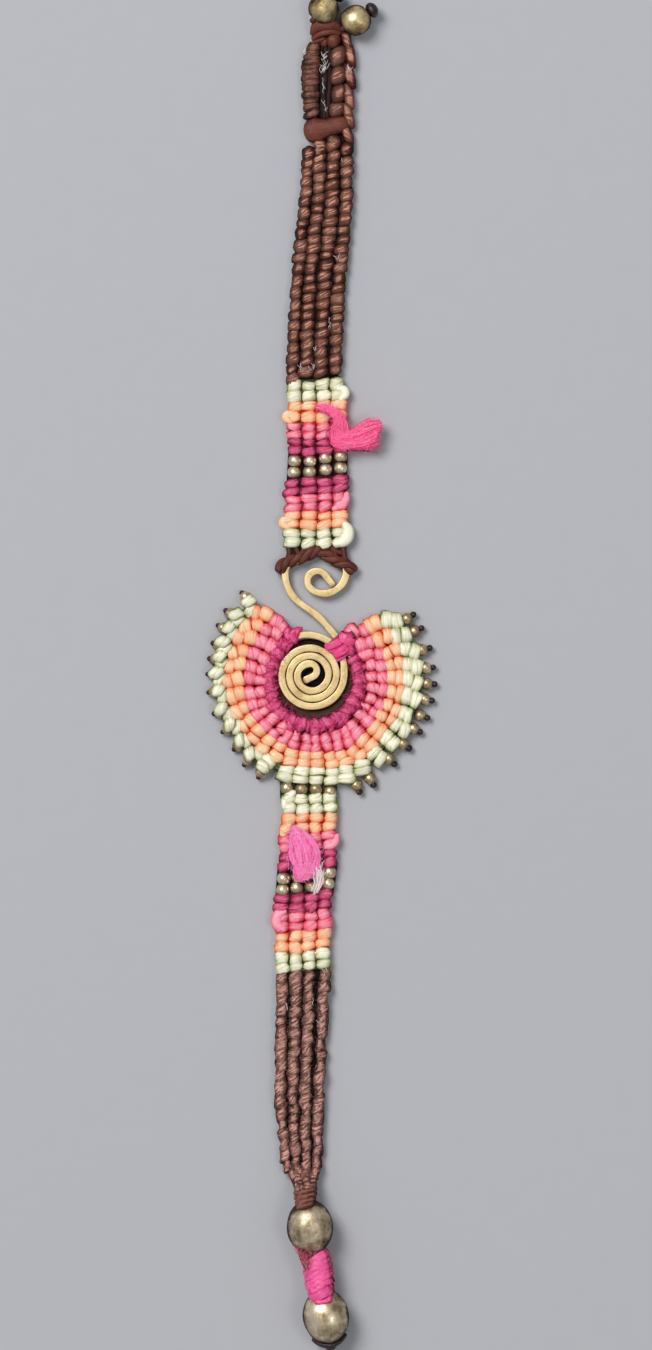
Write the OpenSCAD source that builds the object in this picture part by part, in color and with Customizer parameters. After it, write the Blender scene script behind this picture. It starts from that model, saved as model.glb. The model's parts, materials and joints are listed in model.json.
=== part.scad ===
// Macrame bracelet, open and laid flat: a buttonhole loop with two brass end beads, a brown knotted strap,
// rows of coloured knots between small brass beads, a coiled brass wire carried by a shell-shaped fan of
// knotted ribs, a second strap, and two large clasp beads.
// X runs across the bracelet, Y along it towards the loop, and Z up from the surface it lies on.

/* [Straps] */
// Thickness of the knotted straps
strap_t = 2.2; // [1.8:0.1:2.6]
// Rows of knots in the brown strap next to the loop
upper_rows = 25; // [18:1:30]
// Rows of knots in the brown strap next to the clasp beads
lower_rows = 19; // [12:1:24]
// Depth of the groove between two columns of knots, as a share of half the thickness
groove = 0.4; // [0.2:0.02:0.6]
// How far a column draws in between two rows, as a share of half the thickness
waist = 0.2; // [0.1:0.02:0.35]
// Room between two neighbouring pieces
seam = 0.12; // [0.06:0.01:0.2]
// Wraps in the left leg of the buttonhole
left_leg_rows = 9; // [7:1:11]
// Knots in its inner leg
inner_leg_rows = 4; // [3:1:6]
// Knots in its outer leg
outer_leg_rows = 7; // [5:1:8]
// Thickness of the wrapped neck next to the clasp beads
neck_t = 2.1; // [1.8:0.1:2.3]
// Thickness of the loose bits of frayed cord
fibre_t = 1; // [0.7:0.1:1]

/* [Beads] */
// Diameter of the small beads threaded in the straps
spacer_d = 1.92; // [1.7:0.01:2]
// Length of the small beads, along the cord
spacer_l = 1.6; // [1.3:0.05:1.6]
// Diameter of the beads around the edge of the fan
edge_bead_d = 1.96; // [1.7:0.01:2]
// Diameter of the burnt knots that hold the edge beads
edge_knot_d = 0.8; // [0.6:0.05:0.9]
// Diameter of the two round beads at the loop end
end_bead_d = 4.95; // [4.5:0.05:5]
// Diameter of the two clasp beads
clasp_bead_d = 7.4; // [6.8:0.1:7.6]
// Length of the clasp beads
clasp_bead_l = 8.3; // [8:0.1:8.4]
// Length that their oval would have without the flat ends
clasp_oval_l = 8.9; // [8.8:0.1:9.2]
// Diameter of the hole through a clasp bead
clasp_bore_d = 2.4; // [2.2:0.1:2.6]

/* [Wire] */
// Diameter of the brass wire
wire_d = 1.05; // [0.9:0.05:1.1]
// Height of the middle of the wire above the surface
wire_z = 1.3; // [1.2:0.05:1.4]
// Distance between two turns of the spiral
turn_pitch = 1.248; // [1.22:0.002:1.26]
// Radius of the first quarter turn of the spiral
spiral_r = 5.14; // [5.1:0.01:5.18]
// Quarter turns in the spiral
spiral_quarters = 11; // [8:1:11]

/* [Fan] */
// Thickness of the ribs of the fan
fan_t = 2.3; // [2:0.1:2.5]
// Thickness of the magenta cord wrapped over the wire, outside to outside
ring_wrap_d = 1.76; // [1.6:0.02:1.8]
// Diameter of the green loops that lie over the beads on the left edge
edge_loop_d = 1; // [0.8:0.05:1.1]
// Length of those loops, along the edge
edge_loop_l = 2.2; // [1.8:0.1:2.3]

/* [Hidden] */
$fn = 32;

// Colours
BROWN = [0.42, 0.24, 0.19];
NECK_BROWN = [0.5, 0.27, 0.22];
GREEN = [0.78, 0.87, 0.69];
ORANGE = [0.98, 0.63, 0.42];
PINK = [0.95, 0.42, 0.52];
MAGENTA = [0.76, 0.17, 0.44];
BRASS = [0.72, 0.62, 0.4];
BURNT = [0.13, 0.07, 0.07];
FIBRE = [0.96, 0.38, 0.6];

// Every piece is moved by this, so that the whole bracelet is centred on the origin
shift = [-0.042, -0.447, 0];

// The straps' run, a row for each section:
// distance along, middle across, width, height of the middle, slope of the rows
LINE = [
  [-84.9, -2.35, 2.1, 3.4, 0], [-82.9, -2.3, 3.6, 2.5, 0], [-79.7, -2.8, 5.9, 1.4, 0],
  [-76.5, -2.9, 7, 1.1, 0], [-68.5, -3.2, 7.7, 1.1, 0], [-52.5, -2.7, 8.3, 1.1, 0], [-47.7, -2.6, 8.8, 1.1, 0.05],
  [-42.1, -2.6, 9, 1.1, 0.1], [-35.2, -2.3, 9.2, 1.1, 0.14], [-31.6, -2, 9.2, 1.1, 0.12],
  [-25.5, -1.8, 9, 1.1, 0.02], [-19.8, -1.8, 8.9, 1.1, -0.08],
  [20, -0.5, 10.6, 1.1, 0], [23.5, -0.6, 10.7, 1.1, 0], [27.5, -0.4, 9.9, 1.1, 0.03],
  [31.2, -0.3, 9.7, 1.1, 0.08], [35, -0.3, 9.2, 1.1, 0.12], [40.3, -0.6, 9.4, 1.1, 0.1],
  [46.3, -0.7, 8.9, 1.1, 0.1], [48.3, -0.9, 8.7, 1.1, 0.08], [59.5, -0.5, 8.4, 1.1, 0.04],
  [68.3, 0.3, 8.5, 1.1, 0.04], [75.5, 1, 8.3, 1.1, 0.06], [82, 1.2, 7.9, 1.1, 0.2],
  [84.9, 1.2, 7.5, 1.1, 0.36]
];
MIDDLE = 1;
WIDTH = 2;
HEIGHT = 3;
SLOPE = 4;
strap_columns = 4;

// Where the colours of the four knotted blocks change, from the loop end to the clasp end
BLOCK_ENDS = [
  [46.3, 43.2, 40, 37.6, 35],
  [31.15, 28.5, 25.8, 23, 20.05],
  [-19.8, -22.5, -25.5, -28.4, -31.6],
  [-35.2, -37.6, -41.4, -44.6, -48.1]
];
block_rows = 2;

// The legs of the buttonhole: distance along, middle across, width
LEG_LEFT = [[88.2, -1.3, 2.4], [91.5, -1.7, 2.7], [96.3, -1.6, 2.6], [100.9, -0.9, 1.8]];
LEG_INNER = [[88.9, 2.75, 2.1], [93, 2.7, 2.15], [97, 2.8, 2.2], [99.6, 3, 2]];
LEG_OUTER = [[86.5, 4.95, 1.5], [90, 4.95, 1.7], [97, 4.9, 1.8], [100.4, 4.5, 1.4], [102, 3.8, 1.2]];

// The wire's bends from the free end of the scroll: radius and turn, or length and no turn
WIRE_START = [1.97, 14.03, 127];
SCROLL = [[1.85, 0], [1.6, 188], [3, 45], [3.65, 90]];
ARCH_RIGHT = [[1.1, 62], [3.6, 0], [2.4, 28]];
ARCH_LEFT = [[2.4, 28], [3.6, 0], [1.1, 62]];
S_CURVE = [[0.45, 0], [5.9, 55], [2.1, 0], [11.2, -15], [2.75, 0]];
UNDER_BINDING = [[2.9, 0], [7.23, -10]];
RING = [[7.23, -210], [7.94, -45], [5.47, -28]];
RING_TO_SPIRAL = [[5.47, -17], [6.38, -45], [4.96, -45], [0.95, 0]];
SPIRAL = [for (i = [0:spiral_quarters - 1]) [spiral_r - i * turn_pitch / 4, -90]];
INNER_CURL = [[1.09, -155], [1.25, 0]];
bore_d = wire_d + 0.1;
hitch_d = 1.56;
strand_d = 1;
// The wire is made bend by bend: each stops this far short of the next, and a short collar joins the two
bend_gap = 0.04;
collar_d = wire_d + 0.03;
collar_l = 0.2;

// The binding holds the wire's two runs side by side
binding_at = [2.95, 4.24];
binding_heading = -50;
binding_l = 2;
binding_size = [3.4, 2];
binding_hole = [2.48, 1.22];

// The fan's ribs, anticlockwise from the top left: direction of the inner end and of the outer end
fan_centre = [-1.15, -0.94];
RIBS = [
  [119, 131.5], [126, 142], [141, 150.5], [157, 160.3], [170.5, 169.2], [181.5, 178.6], [195, 189.5],
  [206, 200.5], [215, 211], [226, 222], [238, 231.7], [246.5, 241.5], [254.5, 254], [264.5, 263.4],
  [272.7, 272], [282, 281], [291.5, 289.5], [300.5, 298.6], [309.5, 309.8], [321.5, 320.8], [330.8, 330.4],
  [340, 338.6], [351, 348], [361.5, 357], [372, 365.8], [383, 374.8], [395, 384.9], [408, 393.5]
];
last_rib = len(RIBS) - 1;
// Distances from the centre at which a straight rib has those two directions
rib_inner_r = 8.6;
rib_outer_r = 16.4;
// Where each colour ends along the ribs: rib, distance from the centre
RING_EDGE = [[0, 8.8], [1, 8.4], [2, 8.2], [5, 8.15], [7, 8.4], [9, 8.6], [12, 9], [16, 9], [19, 8.8],
             [23, 8.7], [25, 8.5], [26, 8.7], [27, 9.2]];
PINK_EDGE = [[0, 11.7], [2, 11], [5, 11.1], [9, 11.4], [12, 11.9], [16, 12.3], [17, 12.6], [18, 12.1],
             [23, 11.9], [25, 12], [27, 11.8]];
ORANGE_EDGE = [[0, 14.3], [4, 14.1], [8, 14], [10, 14.5], [13, 14.4], [15, 14.6], [17, 15.2], [19, 14.5],
               [21, 14.7], [25, 14.8], [27, 14.3]];
GREEN_EDGE = [[0, 15.6], [2, 15.2], [3, 14.85], [8, 14.85], [9, 15], [11, 15.9], [12, 17], [14, 16.6],
              [15, 17.2], [17, 17.3], [18, 16.9], [23, 17.2], [27, 16.9]];

// The beads around the fan: direction and distance from the centre
BEADS_LEFT = [[129.8, 16.8], [142.3, 16.7], [151, 16.4], [160.8, 16], [169.5, 15.9], [178, 15.9], [188, 15.9],
              [200, 15.9], [211, 15.9], [222.3, 16.1], [231.8, 16.8], [241.3, 17.2]];
BEADS_RIGHT = [[292.2, 18.5], [299.6, 18.5], [313.4, 17.8], [323.8, 17.9], [333.2, 18], [340.8, 18.2],
               [349.2, 18.2], [357, 18.3], [365, 18.1], [374.3, 18.1], [384.6, 17.9], [392.1, 17.8]];

// Threaded beads in the straps: distances along for the rows, and the step across
UPPER_BEAD_ROWS = [34, 32.15];
LOWER_BEAD_ROWS = [-32.6, -34.25];
bead_step = 2.5;
lower_bead_step = 2.4;
FAN_STRAP_BEADS = [[-5.3, -18.5], [-2.95, -18.8], [-0.65, -18.7], [1.6, -19.1]];
thread_d = 0.7;
thread_out = 0.04;

// Beads at the loop end: place and direction of the hole
end_bore_d = 1.3;
end_cord_d = 1.1;
END_BEAD_LEFT = [0.6, 105.95, 47];
END_BEAD_RIGHT = [5.7, 104.1, 33];
burnt_knot_size = [2.3, 1.2];
end_cord_out = 0.25;
knot_gap = 0.05;

// The wraps over the top of the buttonhole, and the small knot under them: place, direction, diameter,
// distance between the middles of the round ends, height of the underside
TOP_WRAPS = [
  [0.85, 102.95, 2, 1.7, 2.6, 0.02], [0.75, 101.8, 6, 1.3, 2.7, 0.25], [2, 100.75, 60, 1.7, 0.4, 0.1]
];

// Clasp beads: place and direction of the hole
CLASP_FIRST = [-1.6, -88.6, -86];
CLASP_SECOND = [0.95, -102.85, -81];
clasp_cord_d = clasp_bore_d - 0.2;
end_knot_size = [4.8, 1.1];
neck_from_y = -80;
cord_in_neck = 0.4;
cord_in_knot = 0.2;

function lerp(a, b, t) = a + (b - a) * t;
function polar(r, a) = [r * cos(a), r * sin(a)];
function along(y, i) = lookup(y, [for (row = LINE) [row[0], row[i]]]);
function leg_at(leg, y, i) = lookup(y, [for (row = leg) [row[0], row[i]]]);
function is_crest(i) = i % 2 == 1;

// Closed skin over a list of flat rings that all have the same number of points. Seen from the last ring,
// each goes round anticlockwise.
module skin(rings) {
  n = len(rings[0]);
  last = len(rings) - 1;
  sides = [
    for (i = [0:last - 1], j = [0:n - 1])
      let (k = (j + 1) % n, a = i * n + j, b = i * n + k, c = a + n, d = b + n)
        each [[a, c, b], [b, c, d]]
  ];
  first_cap = [for (j = [0:n - 1]) j];
  last_cap = [for (j = [0:n - 1]) last * n + (n - j) % n];
  polyhedron(points = [for (ring = rings) each ring], faces = concat(sides, [first_cap, last_cap]));
}

// Upright oval ring about a point, with its width along the vector half
function oval(centre, half, half_h, sides = 8) = [
  for (i = [0:sides - 1])
    let (a = 360 * (i + 0.5) / sides)
      [centre[0] + half[0] * cos(a), centre[1] + half[1] * cos(a), centre[2] + half_h * sin(a)]
];

// Ring across a strap of knots: its columns' tops, then its flatter underside
function strap_ring(y, swell) =
  let (
    x0 = along(y, MIDDLE), w = along(y, WIDTH) - (1 - swell) * strap_t / 2, z0 = along(y, HEIGHT),
    slope = along(y, SLOPE), h = strap_t / 2 * swell, n = strap_columns, step = w / n,
    place = function(u, z) [x0 + u, y + slope * u, z0 + z]
  )
  concat(
    [place(-w / 2, 0)],
    [for (i = [0:2 * n - 2]) place(-w / 2 + (i + 1) * step / 2, is_crest(i) ? h * (1 - groove) : h)],
    [place(w / 2, 0)],
    [for (i = [n - 1:-1:0]) place(-w / 2 + (i + 0.5) * step, -h)]
  );

// Strap of knots from one distance along to another, a crest for each row
module knotted_strap(from_y, to_y, rows) {
  skin([for (i = [0:2 * rows]) strap_ring(lerp(from_y, to_y, i / (2 * rows)), is_crest(i) ? 1 : 1 - waist)]);
}

// One column of knots
module knotted_leg(leg, rows) {
  from_y = leg[0][0];
  to_y = leg[len(leg) - 1][0];
  skin([
    for (i = [0:2 * rows])
      let (y = lerp(from_y, to_y, i / (2 * rows)), swell = is_crest(i) ? 1 : 1 - waist)
        oval([leg_at(leg, y, 1), y, strap_t / 2], [-leg_at(leg, y, 2) / 2 * swell, 0], strap_t / 2 * swell)
  ]);
}

// Turned bead along X: what of an oval lies outside the hole and between two flat ends that are l apart
module turned_bead(d, oval_l, bore, l) {
  rotate([0, 90, 0])
    rotate_extrude($fn = 96)
      intersection() {
        scale([1, oval_l / d]) circle(d = d);
        translate([bore / 2, -l / 2]) square([d, l]);
      }
}

// Solid round bead with flat ends, along X
module barrel(d, l) {
  turned_bead(d, d, 0, l);
}

// Puts a piece that lies along X at a place, turned to a direction
module laid(at, heading, z) {
  translate([at[0], at[1], z]) rotate([0, 0, heading]) children();
}

// Rod along X
module rod(d, l) {
  rotate([0, 90, 0]) cylinder(h = l, d = d);
}

module end_bead(at) {
  color(BRASS) laid(at, at[2], end_bead_d / 2) turned_bead(end_bead_d, end_bead_d, end_bore_d, end_bead_d);
}

// Cord through an end bead, from the loop to the burnt knot
module end_cord(at) {
  color(BROWN) laid(at, at[2], end_bead_d / 2)
    translate([-end_bead_d / 2 - end_cord_out, 0, 0]) rod(end_cord_d, end_bead_d + end_cord_out);
}

module burnt_knot(at) {
  reach = end_bead_d / 2 + burnt_knot_size[1] / 2 + knot_gap;
  color(BURNT) laid(at, at[2], end_bead_d / 2)
    translate([reach, 0, 0]) barrel(burnt_knot_size[0], burnt_knot_size[1]);
}

// Cord with round ends along X, the middles of its ends l apart
module round_cord(d, l) {
  rotate([0, 90, 0])
    rotate_extrude($fn = 48)
      intersection() {
        union() {
          for (side = [-1, 1]) translate([0, side * l / 2]) circle(d = d);
          translate([-d / 2, -l / 2]) square([d, l]);
        }
        translate([0, -l / 2 - d]) square([d, l + 2 * d]);
      }
}

// Two wraps over the top of the buttonhole, and the small knot under them
module loop_top_wrap() {
  color(BROWN) for (w = TOP_WRAPS) laid(w, w[2], w[3] / 2 + w[5]) round_cord(w[3], w[4]);
}

module loop_leg_left() {
  color(BROWN) knotted_leg(LEG_LEFT, left_leg_rows);
}

module loop_leg_inner() {
  color(BROWN) knotted_leg(LEG_INNER, inner_leg_rows);
}

module loop_leg_outer() {
  color(BROWN) knotted_leg(LEG_OUTER, outer_leg_rows);
}

// Wide slanted wrap that closes the buttonhole
module loop_band() {
  sections = [
    [-2.2, 85.9, 1.2], [-1.8, 86, 1.75], [-0.2, 86.4, 1.8], [1.6, 87, 1.75], [3.2, 87.5, 1.5], [3.8, 87.7, 1]
  ];
  full_half = 1.5;
  half_t = strap_t / 2;
  color(BROWN) skin([
    for (s = sections) oval([s[0], s[1], half_t + 0.1], [0, s[2]], half_t * min(1, s[2] / full_half))
  ]);
}

module upper_strap() {
  last_y = LINE[len(LINE) - 1][0];
  color(BROWN) knotted_strap(BLOCK_ENDS[0][0] + seam, last_y, upper_rows);
}

// Rows of one colour in a block: the blocks and their colours are numbered from the loop end
module knot_rows(block, colour_place, hue) {
  ends = BLOCK_ENDS[block];
  color(hue) knotted_strap(ends[colour_place + 1] + seam / 2, ends[colour_place] - seam / 2, block_rows);
}

// Small beads threaded on the four cords of a strap, joined along their thread
module spacer_beads(rows, step) {
  y0 = (rows[0] + rows[1]) / 2;
  x0 = along(y0, MIDDLE);
  slope = along(y0, SLOPE);
  thread_l = rows[0] - rows[1] + spacer_l + 2 * thread_out;
  color(BRASS)
    for (i = [0:strap_columns - 1]) {
      u = (i - (strap_columns - 1) / 2) * step;
      for (y = rows) laid([x0 + u, y + slope * u], 90, strap_t / 2) barrel(spacer_d, spacer_l);
      laid([x0 + u, y0 + slope * u - thread_l / 2], 90, strap_t / 2) rod(thread_d, thread_l);
    }
}

// Place and direction after one bend of the wire
function after(state, bend) =
  let (h = state[2], side = sign(bend[1]))
    side == 0
      ? [state[0] + bend[0] * cos(h), state[1] + bend[0] * sin(h), h]
      : let (
          cx = state[0] - side * bend[0] * sin(h), cy = state[1] + side * bend[0] * cos(h), g = h + bend[1]
        )
        [cx + side * bend[0] * sin(g), cy - side * bend[0] * cos(g), g];
function after_all(state, bends, i = 0) =
  i == len(bends) ? state : after_all(after(state, bends[i]), bends, i + 1);

// Section of a wire, or of a sleeve around it
module wire_section(d, hole) {
  difference() {
    circle(d = d);
    if (hole > 0) circle(d = hole);
  }
}

// Follows a run of bends with a round section. Each stops a little short of the next.
module bent(state, bends, d, hole = 0) {
  for (i = [0:len(bends) - 1]) {
    bend = bends[i];
    s = after_all(state, [for (j = [0:1:i - 1]) bends[j]]);
    side = sign(bend[1]);
    if (side == 0)
      laid(s, s[2], wire_z) translate([bend_gap, 0, 0]) rotate([90, 0, 90])
        linear_extrude(bend[0] - 2 * bend_gap) wire_section(d, hole);
    else {
      centre = [s[0] - side * bend[0] * sin(s[2]), s[1] + side * bend[0] * cos(s[2])];
      spare = bend_gap / bend[0] * 180 / PI;
      laid(centre, s[2] - side * 90 + min(bend[1], 0) + spare, wire_z)
        rotate_extrude(angle = abs(bend[1]) - 2 * spare, $fn = 96)
          translate([bend[0], 0]) wire_section(d, hole);
    }
  }
}

at_arch_right = after_all(WIRE_START, SCROLL);
at_arch_left = after_all(at_arch_right, ARCH_RIGHT);
at_s_curve = after_all(at_arch_left, ARCH_LEFT);
at_binding = after_all(at_s_curve, S_CURVE);
at_ring = after_all(at_binding, UNDER_BINDING);

module brass_wire() {
  bends = concat(
    SCROLL, ARCH_RIGHT, ARCH_LEFT, S_CURVE, UNDER_BINDING, RING, RING_TO_SPIRAL, SPIRAL, INNER_CURL
  );
  color(BRASS) {
    bent(WIRE_START, bends, wire_d);
    for (i = [1:len(bends) - 1]) {
      s = after_all(WIRE_START, [for (j = [0:i - 1]) bends[j]]);
      laid(s, s[2], wire_z) translate([-collar_l / 2, 0, 0]) rod(collar_d, collar_l);
    }
  }
}

// Brown cord knotted over one half of the arch, with its strand down from the knots
module wire_hitch(state, bends, strand) {
  top = BLOCK_ENDS[1][4] - seam;
  color(BROWN) {
    bent(state, bends, hitch_d, bore_d);
    laid(strand, 90, strap_t / 2) rod(strand_d, top - strand[1]);
  }
}

module wire_hitch_left() {
  wire_hitch(at_arch_left, ARCH_LEFT, [-4.6, 18.55]);
}

module wire_hitch_right() {
  wire_hitch(at_arch_right, ARCH_RIGHT, [3.6, 18.55]);
}

// Magenta cord wrapped over the wire all around the fan
module ring_wrap() {
  color(MAGENTA) bent(at_ring, RING, ring_wrap_d, bore_d);
}

module binding_wrap() {
  color(MAGENTA) laid(binding_at, binding_heading, wire_z)
    translate([-binding_l / 2, 0, 0]) rotate([90, 0, 90]) linear_extrude(binding_l)
      difference() {
        rounded_bar(binding_size);
        rounded_bar(binding_hole);
      }
}

// Flat bar with round ends
module rounded_bar(size) {
  reach = (size[0] - size[1]) / 2;
  square([2 * reach, size[1]], center = true);
  for (side = [-1, 1]) translate([side * reach, 0]) circle(d = size[1]);
}

// Value of a column of the ribs' table at any place between ribs, and half a rib past the first and last
function rib_angle(s, i) =
  let (at = function(t) lookup(t, [for (k = [0:last_rib]) [k, RIBS[k][i]]]))
    s < 0 ? 2 * at(0) - at(-s) : s > last_rib ? 2 * at(last_rib) - at(2 * last_rib - s) : at(s);

function on_rib(s, r, z) =
  let (
    a = polar(rib_inner_r, rib_angle(s, 0)), b = polar(rib_outer_r, rib_angle(s, 1)),
    p = lerp(a, b, (r - rib_inner_r) / (rib_outer_r - rib_inner_r))
  )
  [fan_centre[0] + p[0], fan_centre[1] + p[1], z];

// Upright ring along one rib, or along the groove between two
function rib_ring(s, r0, r1, ridge, rows) =
  let (half = fan_t / 2, lift = ridge ? 0 : half * groove / 2, top = ridge ? half : half * (1 - groove))
    concat(
      [
        for (j = [0:2 * rows])
          on_rib(s, lerp(r0, r1, j / (2 * rows)), half + top * (is_crest(j) ? 1 : 1 - waist))
      ],
      [on_rib(s, r1, lift), on_rib(s, r0, lift)]
    );

// One colour of the fan, between two tables of edges
module fan_rows(inner, outer, rows) {
  steps = 2 * len(RIBS);
  skin([
    for (k = [0:steps])
      let (s = (k - 1) / 2)
        rib_ring(s, lookup(s, inner) + seam / 2, lookup(s, outer) - seam / 2, is_crest(k), rows)
  ]);
}

module fan_pink() {
  color(PINK) fan_rows(RING_EDGE, PINK_EDGE, 2);
}

module fan_orange() {
  color(ORANGE) fan_rows(PINK_EDGE, ORANGE_EDGE, 2);
}

module fan_green() {
  color(GREEN) fan_rows(ORANGE_EDGE, GREEN_EDGE, 1);
}

// Green loops that lie over the beads on the left edge
module fan_green_loops() {
  z = edge_bead_d + edge_loop_d / 2 + 0.05;
  color(GREEN)
    for (b = BEADS_LEFT)
      laid(fan_centre + polar(b[1], b[0]), b[0] + 90, z) round_cord(edge_loop_d, edge_loop_l - edge_loop_d);
}

module fan_beads(beads) {
  color(BRASS)
    for (b = beads) laid(fan_centre + polar(b[1], b[0]), b[0], edge_bead_d / 2) barrel(edge_bead_d, spacer_l);
}

module fan_knots(beads) {
  reach = spacer_l / 2 + edge_knot_d / 2 + 0.03;
  color(BURNT)
    for (b = beads)
      translate(concat(fan_centre + polar(b[1] + reach, b[0]), [edge_bead_d / 2])) sphere(d = edge_knot_d);
}

module fan_strap_beads() {
  color(BRASS) for (b = FAN_STRAP_BEADS) laid(b, 90, strap_t / 2) barrel(spacer_d, spacer_l);
}

module lower_strap() {
  color(BROWN) knotted_strap(neck_from_y, BLOCK_ENDS[3][4] - seam, lower_rows);
}

// Narrow wrapped neck, with the cord that goes on through the first clasp bead
module strap_neck() {
  from = CLASP_FIRST;
  reach = clasp_bead_l / 2;
  stations = [neck_from_y - seam, -81.2, -82.9, -84.1];
  color(NECK_BROWN) {
    skin([
      for (y = stations)
        oval([along(y, MIDDLE), y, along(y, HEIGHT)], [along(y, WIDTH) / 2, 0], neck_t / 2)
    ]);
    laid(from, from[2] + 180, clasp_bead_d / 2)
      translate([-reach, 0, 0]) rod(clasp_cord_d, 2 * reach + cord_in_neck);
  }
}

// Large oval bead, with flat ends where the hole opens
module clasp_bead(at) {
  color(BRASS) laid(at, at[2], clasp_bead_d / 2)
    turned_bead(clasp_bead_d, clasp_oval_l, clasp_bore_d, clasp_bead_l);
}

// Brown bundle below the first clasp bead, cut on the slant where the pink wrap starts
module clasp_core() {
  z = clasp_bead_d / 2;
  first_end = oval([-1.6, -92.85, z], [1.25, 0], 1.25);
  cut_end = oval([-1.45, -93.98, z], [1.75, 0.94], 1.45);
  color(NECK_BROWN) skin([first_end, cut_end]);
}

// Pink wrap between the clasp beads: a row for each section, with its middle and half of its width
module clasp_wrap() {
  z = clasp_bead_d / 2;
  sections = [
    [-1, -93.9, 2.5, 1.35, 1.6], [-0.3, -95.8, 2.15, 0.6, 2], [0.1, -97.6, 2.05, 0.2, 2],
    [0.3, -98.45, 1.6, 0, 1.7]
  ];
  color(FIBRE) skin([for (s = sections) oval([s[0], s[1], z], [s[2], s[3]], s[4], 12)]);
}

// Knot that stops the cord behind the second clasp bead, with the cord through the bead
module end_knot() {
  at = CLASP_SECOND;
  reach = clasp_bead_l / 2;
  color(BURNT) laid(at, at[2], clasp_bead_d / 2) {
    translate([reach + end_knot_size[1] / 2 + knot_gap, 0, 0]) barrel(end_knot_size[0], end_knot_size[1]);
    translate([-reach, 0, 0]) rod(clasp_cord_d, 2 * reach + cord_in_knot);
  }
}

// Frayed cord lying over the upper knots: an arch and a flat tail, a row for each section
module loose_fibre() {
  lift = 0.15;
  z = strap_t + fibre_t / 2 + lift;
  arch = [[-0.8, 42.2, 0.1, 0.5], [1.3, 42.2, 0.1, 0.75], [2.9, 41.6, 0.5, 0.8], [3.8, 40.2, 0.85, 0.35],
          [3.9, 38.6, 1.1, 0], [3.4, 37, 1.3, 0]];
  tail = [[1.8, 37, 0, 1], [3.6, 36.9, 0, 1.5], [6.1, 37.3, 0, 1.5], [8, 38.2, 0, 1.8], [9.2, 38.9, 0, 1.4]];
  color(FIBRE) {
    skin([for (s = arch) oval([s[0], s[1], z], [s[2], s[3]], fibre_t / 2)]);
    skin([for (s = tail) oval([s[0], s[1], z + 0.04], [s[2], s[3]], fibre_t * 0.42)]);
  }
}

// Frayed tuft that fans out over the lower knots and beads
module loose_tuft() {
  lift = 0.1;
  z = strap_t + fibre_t / 2 + lift;
  sections = [[-4.3, -25.2, 0.4], [-3.6, -27.5, 1.1], [-2.5, -29.6, 2], [-2, -31.4, 2.2], [-2.2, -33.2, 1.3]];
  color(FIBRE) skin([for (s = sections) oval([s[0], s[1], z], [s[2], 0], fibre_t / 2)]);
}

translate(shift) {
  end_bead(END_BEAD_LEFT);  // end_bead_left
  end_bead(END_BEAD_RIGHT);  // end_bead_right
  end_cord(END_BEAD_LEFT);  // end_cord_left
  end_cord(END_BEAD_RIGHT);  // end_cord_right
  burnt_knot(END_BEAD_LEFT);  // burnt_knot_left
  burnt_knot(END_BEAD_RIGHT);  // burnt_knot_right
  loop_top_wrap();
  loop_leg_left();
  loop_leg_inner();
  loop_leg_outer();
  loop_band();
  upper_strap();
  knot_rows(0, 0, GREEN);  // green_knots_1
  knot_rows(0, 1, ORANGE);  // orange_knots_1
  knot_rows(0, 2, PINK);  // pink_knots_1
  knot_rows(0, 3, MAGENTA);  // magenta_knots_1
  spacer_beads(UPPER_BEAD_ROWS, bead_step);  // upper_spacer_beads
  knot_rows(1, 0, MAGENTA);  // magenta_knots_2
  knot_rows(1, 1, PINK);  // pink_knots_2
  knot_rows(1, 2, ORANGE);  // orange_knots_2
  knot_rows(1, 3, GREEN);  // green_knots_2
  wire_hitch_left();
  wire_hitch_right();
  brass_wire();
  ring_wrap();
  binding_wrap();
  fan_pink();
  fan_orange();
  fan_green();
  fan_green_loops();
  fan_beads(BEADS_LEFT);  // fan_beads_left
  fan_beads(BEADS_RIGHT);  // fan_beads_right
  fan_knots(BEADS_LEFT);  // fan_knots_left
  fan_knots(BEADS_RIGHT);  // fan_knots_right
  fan_strap_beads();
  knot_rows(2, 0, GREEN);  // green_knots_3
  knot_rows(2, 1, ORANGE);  // orange_knots_3
  knot_rows(2, 2, PINK);  // pink_knots_3
  knot_rows(2, 3, MAGENTA);  // magenta_knots_3
  spacer_beads(LOWER_BEAD_ROWS, lower_bead_step);  // lower_spacer_beads
  knot_rows(3, 0, MAGENTA);  // magenta_knots_4
  knot_rows(3, 1, PINK);  // pink_knots_4
  knot_rows(3, 2, ORANGE);  // orange_knots_4
  knot_rows(3, 3, GREEN);  // green_knots_4
  lower_strap();
  strap_neck();
  clasp_bead(CLASP_FIRST);  // clasp_bead_first
  clasp_core();
  clasp_wrap();
  clasp_bead(CLASP_SECOND);  // clasp_bead_second
  end_knot();
  loose_fibre();
  loose_tuft();
}
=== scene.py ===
"""Looks of a macrame bracelet that lies open and flat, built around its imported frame.

Sizes and places are in millimetres in the bracelet's own plan: x across, y along it towards the buttonhole
loop, z up from the surface. They become metres when a mesh is made. Places read off the photograph are in
its pixels, and photo() turns them into the plan.
"""

import json
import logging
import math
import random
from dataclasses import dataclass, field
from enum import Enum
from typing import Callable, NamedTuple, Sequence

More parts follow.
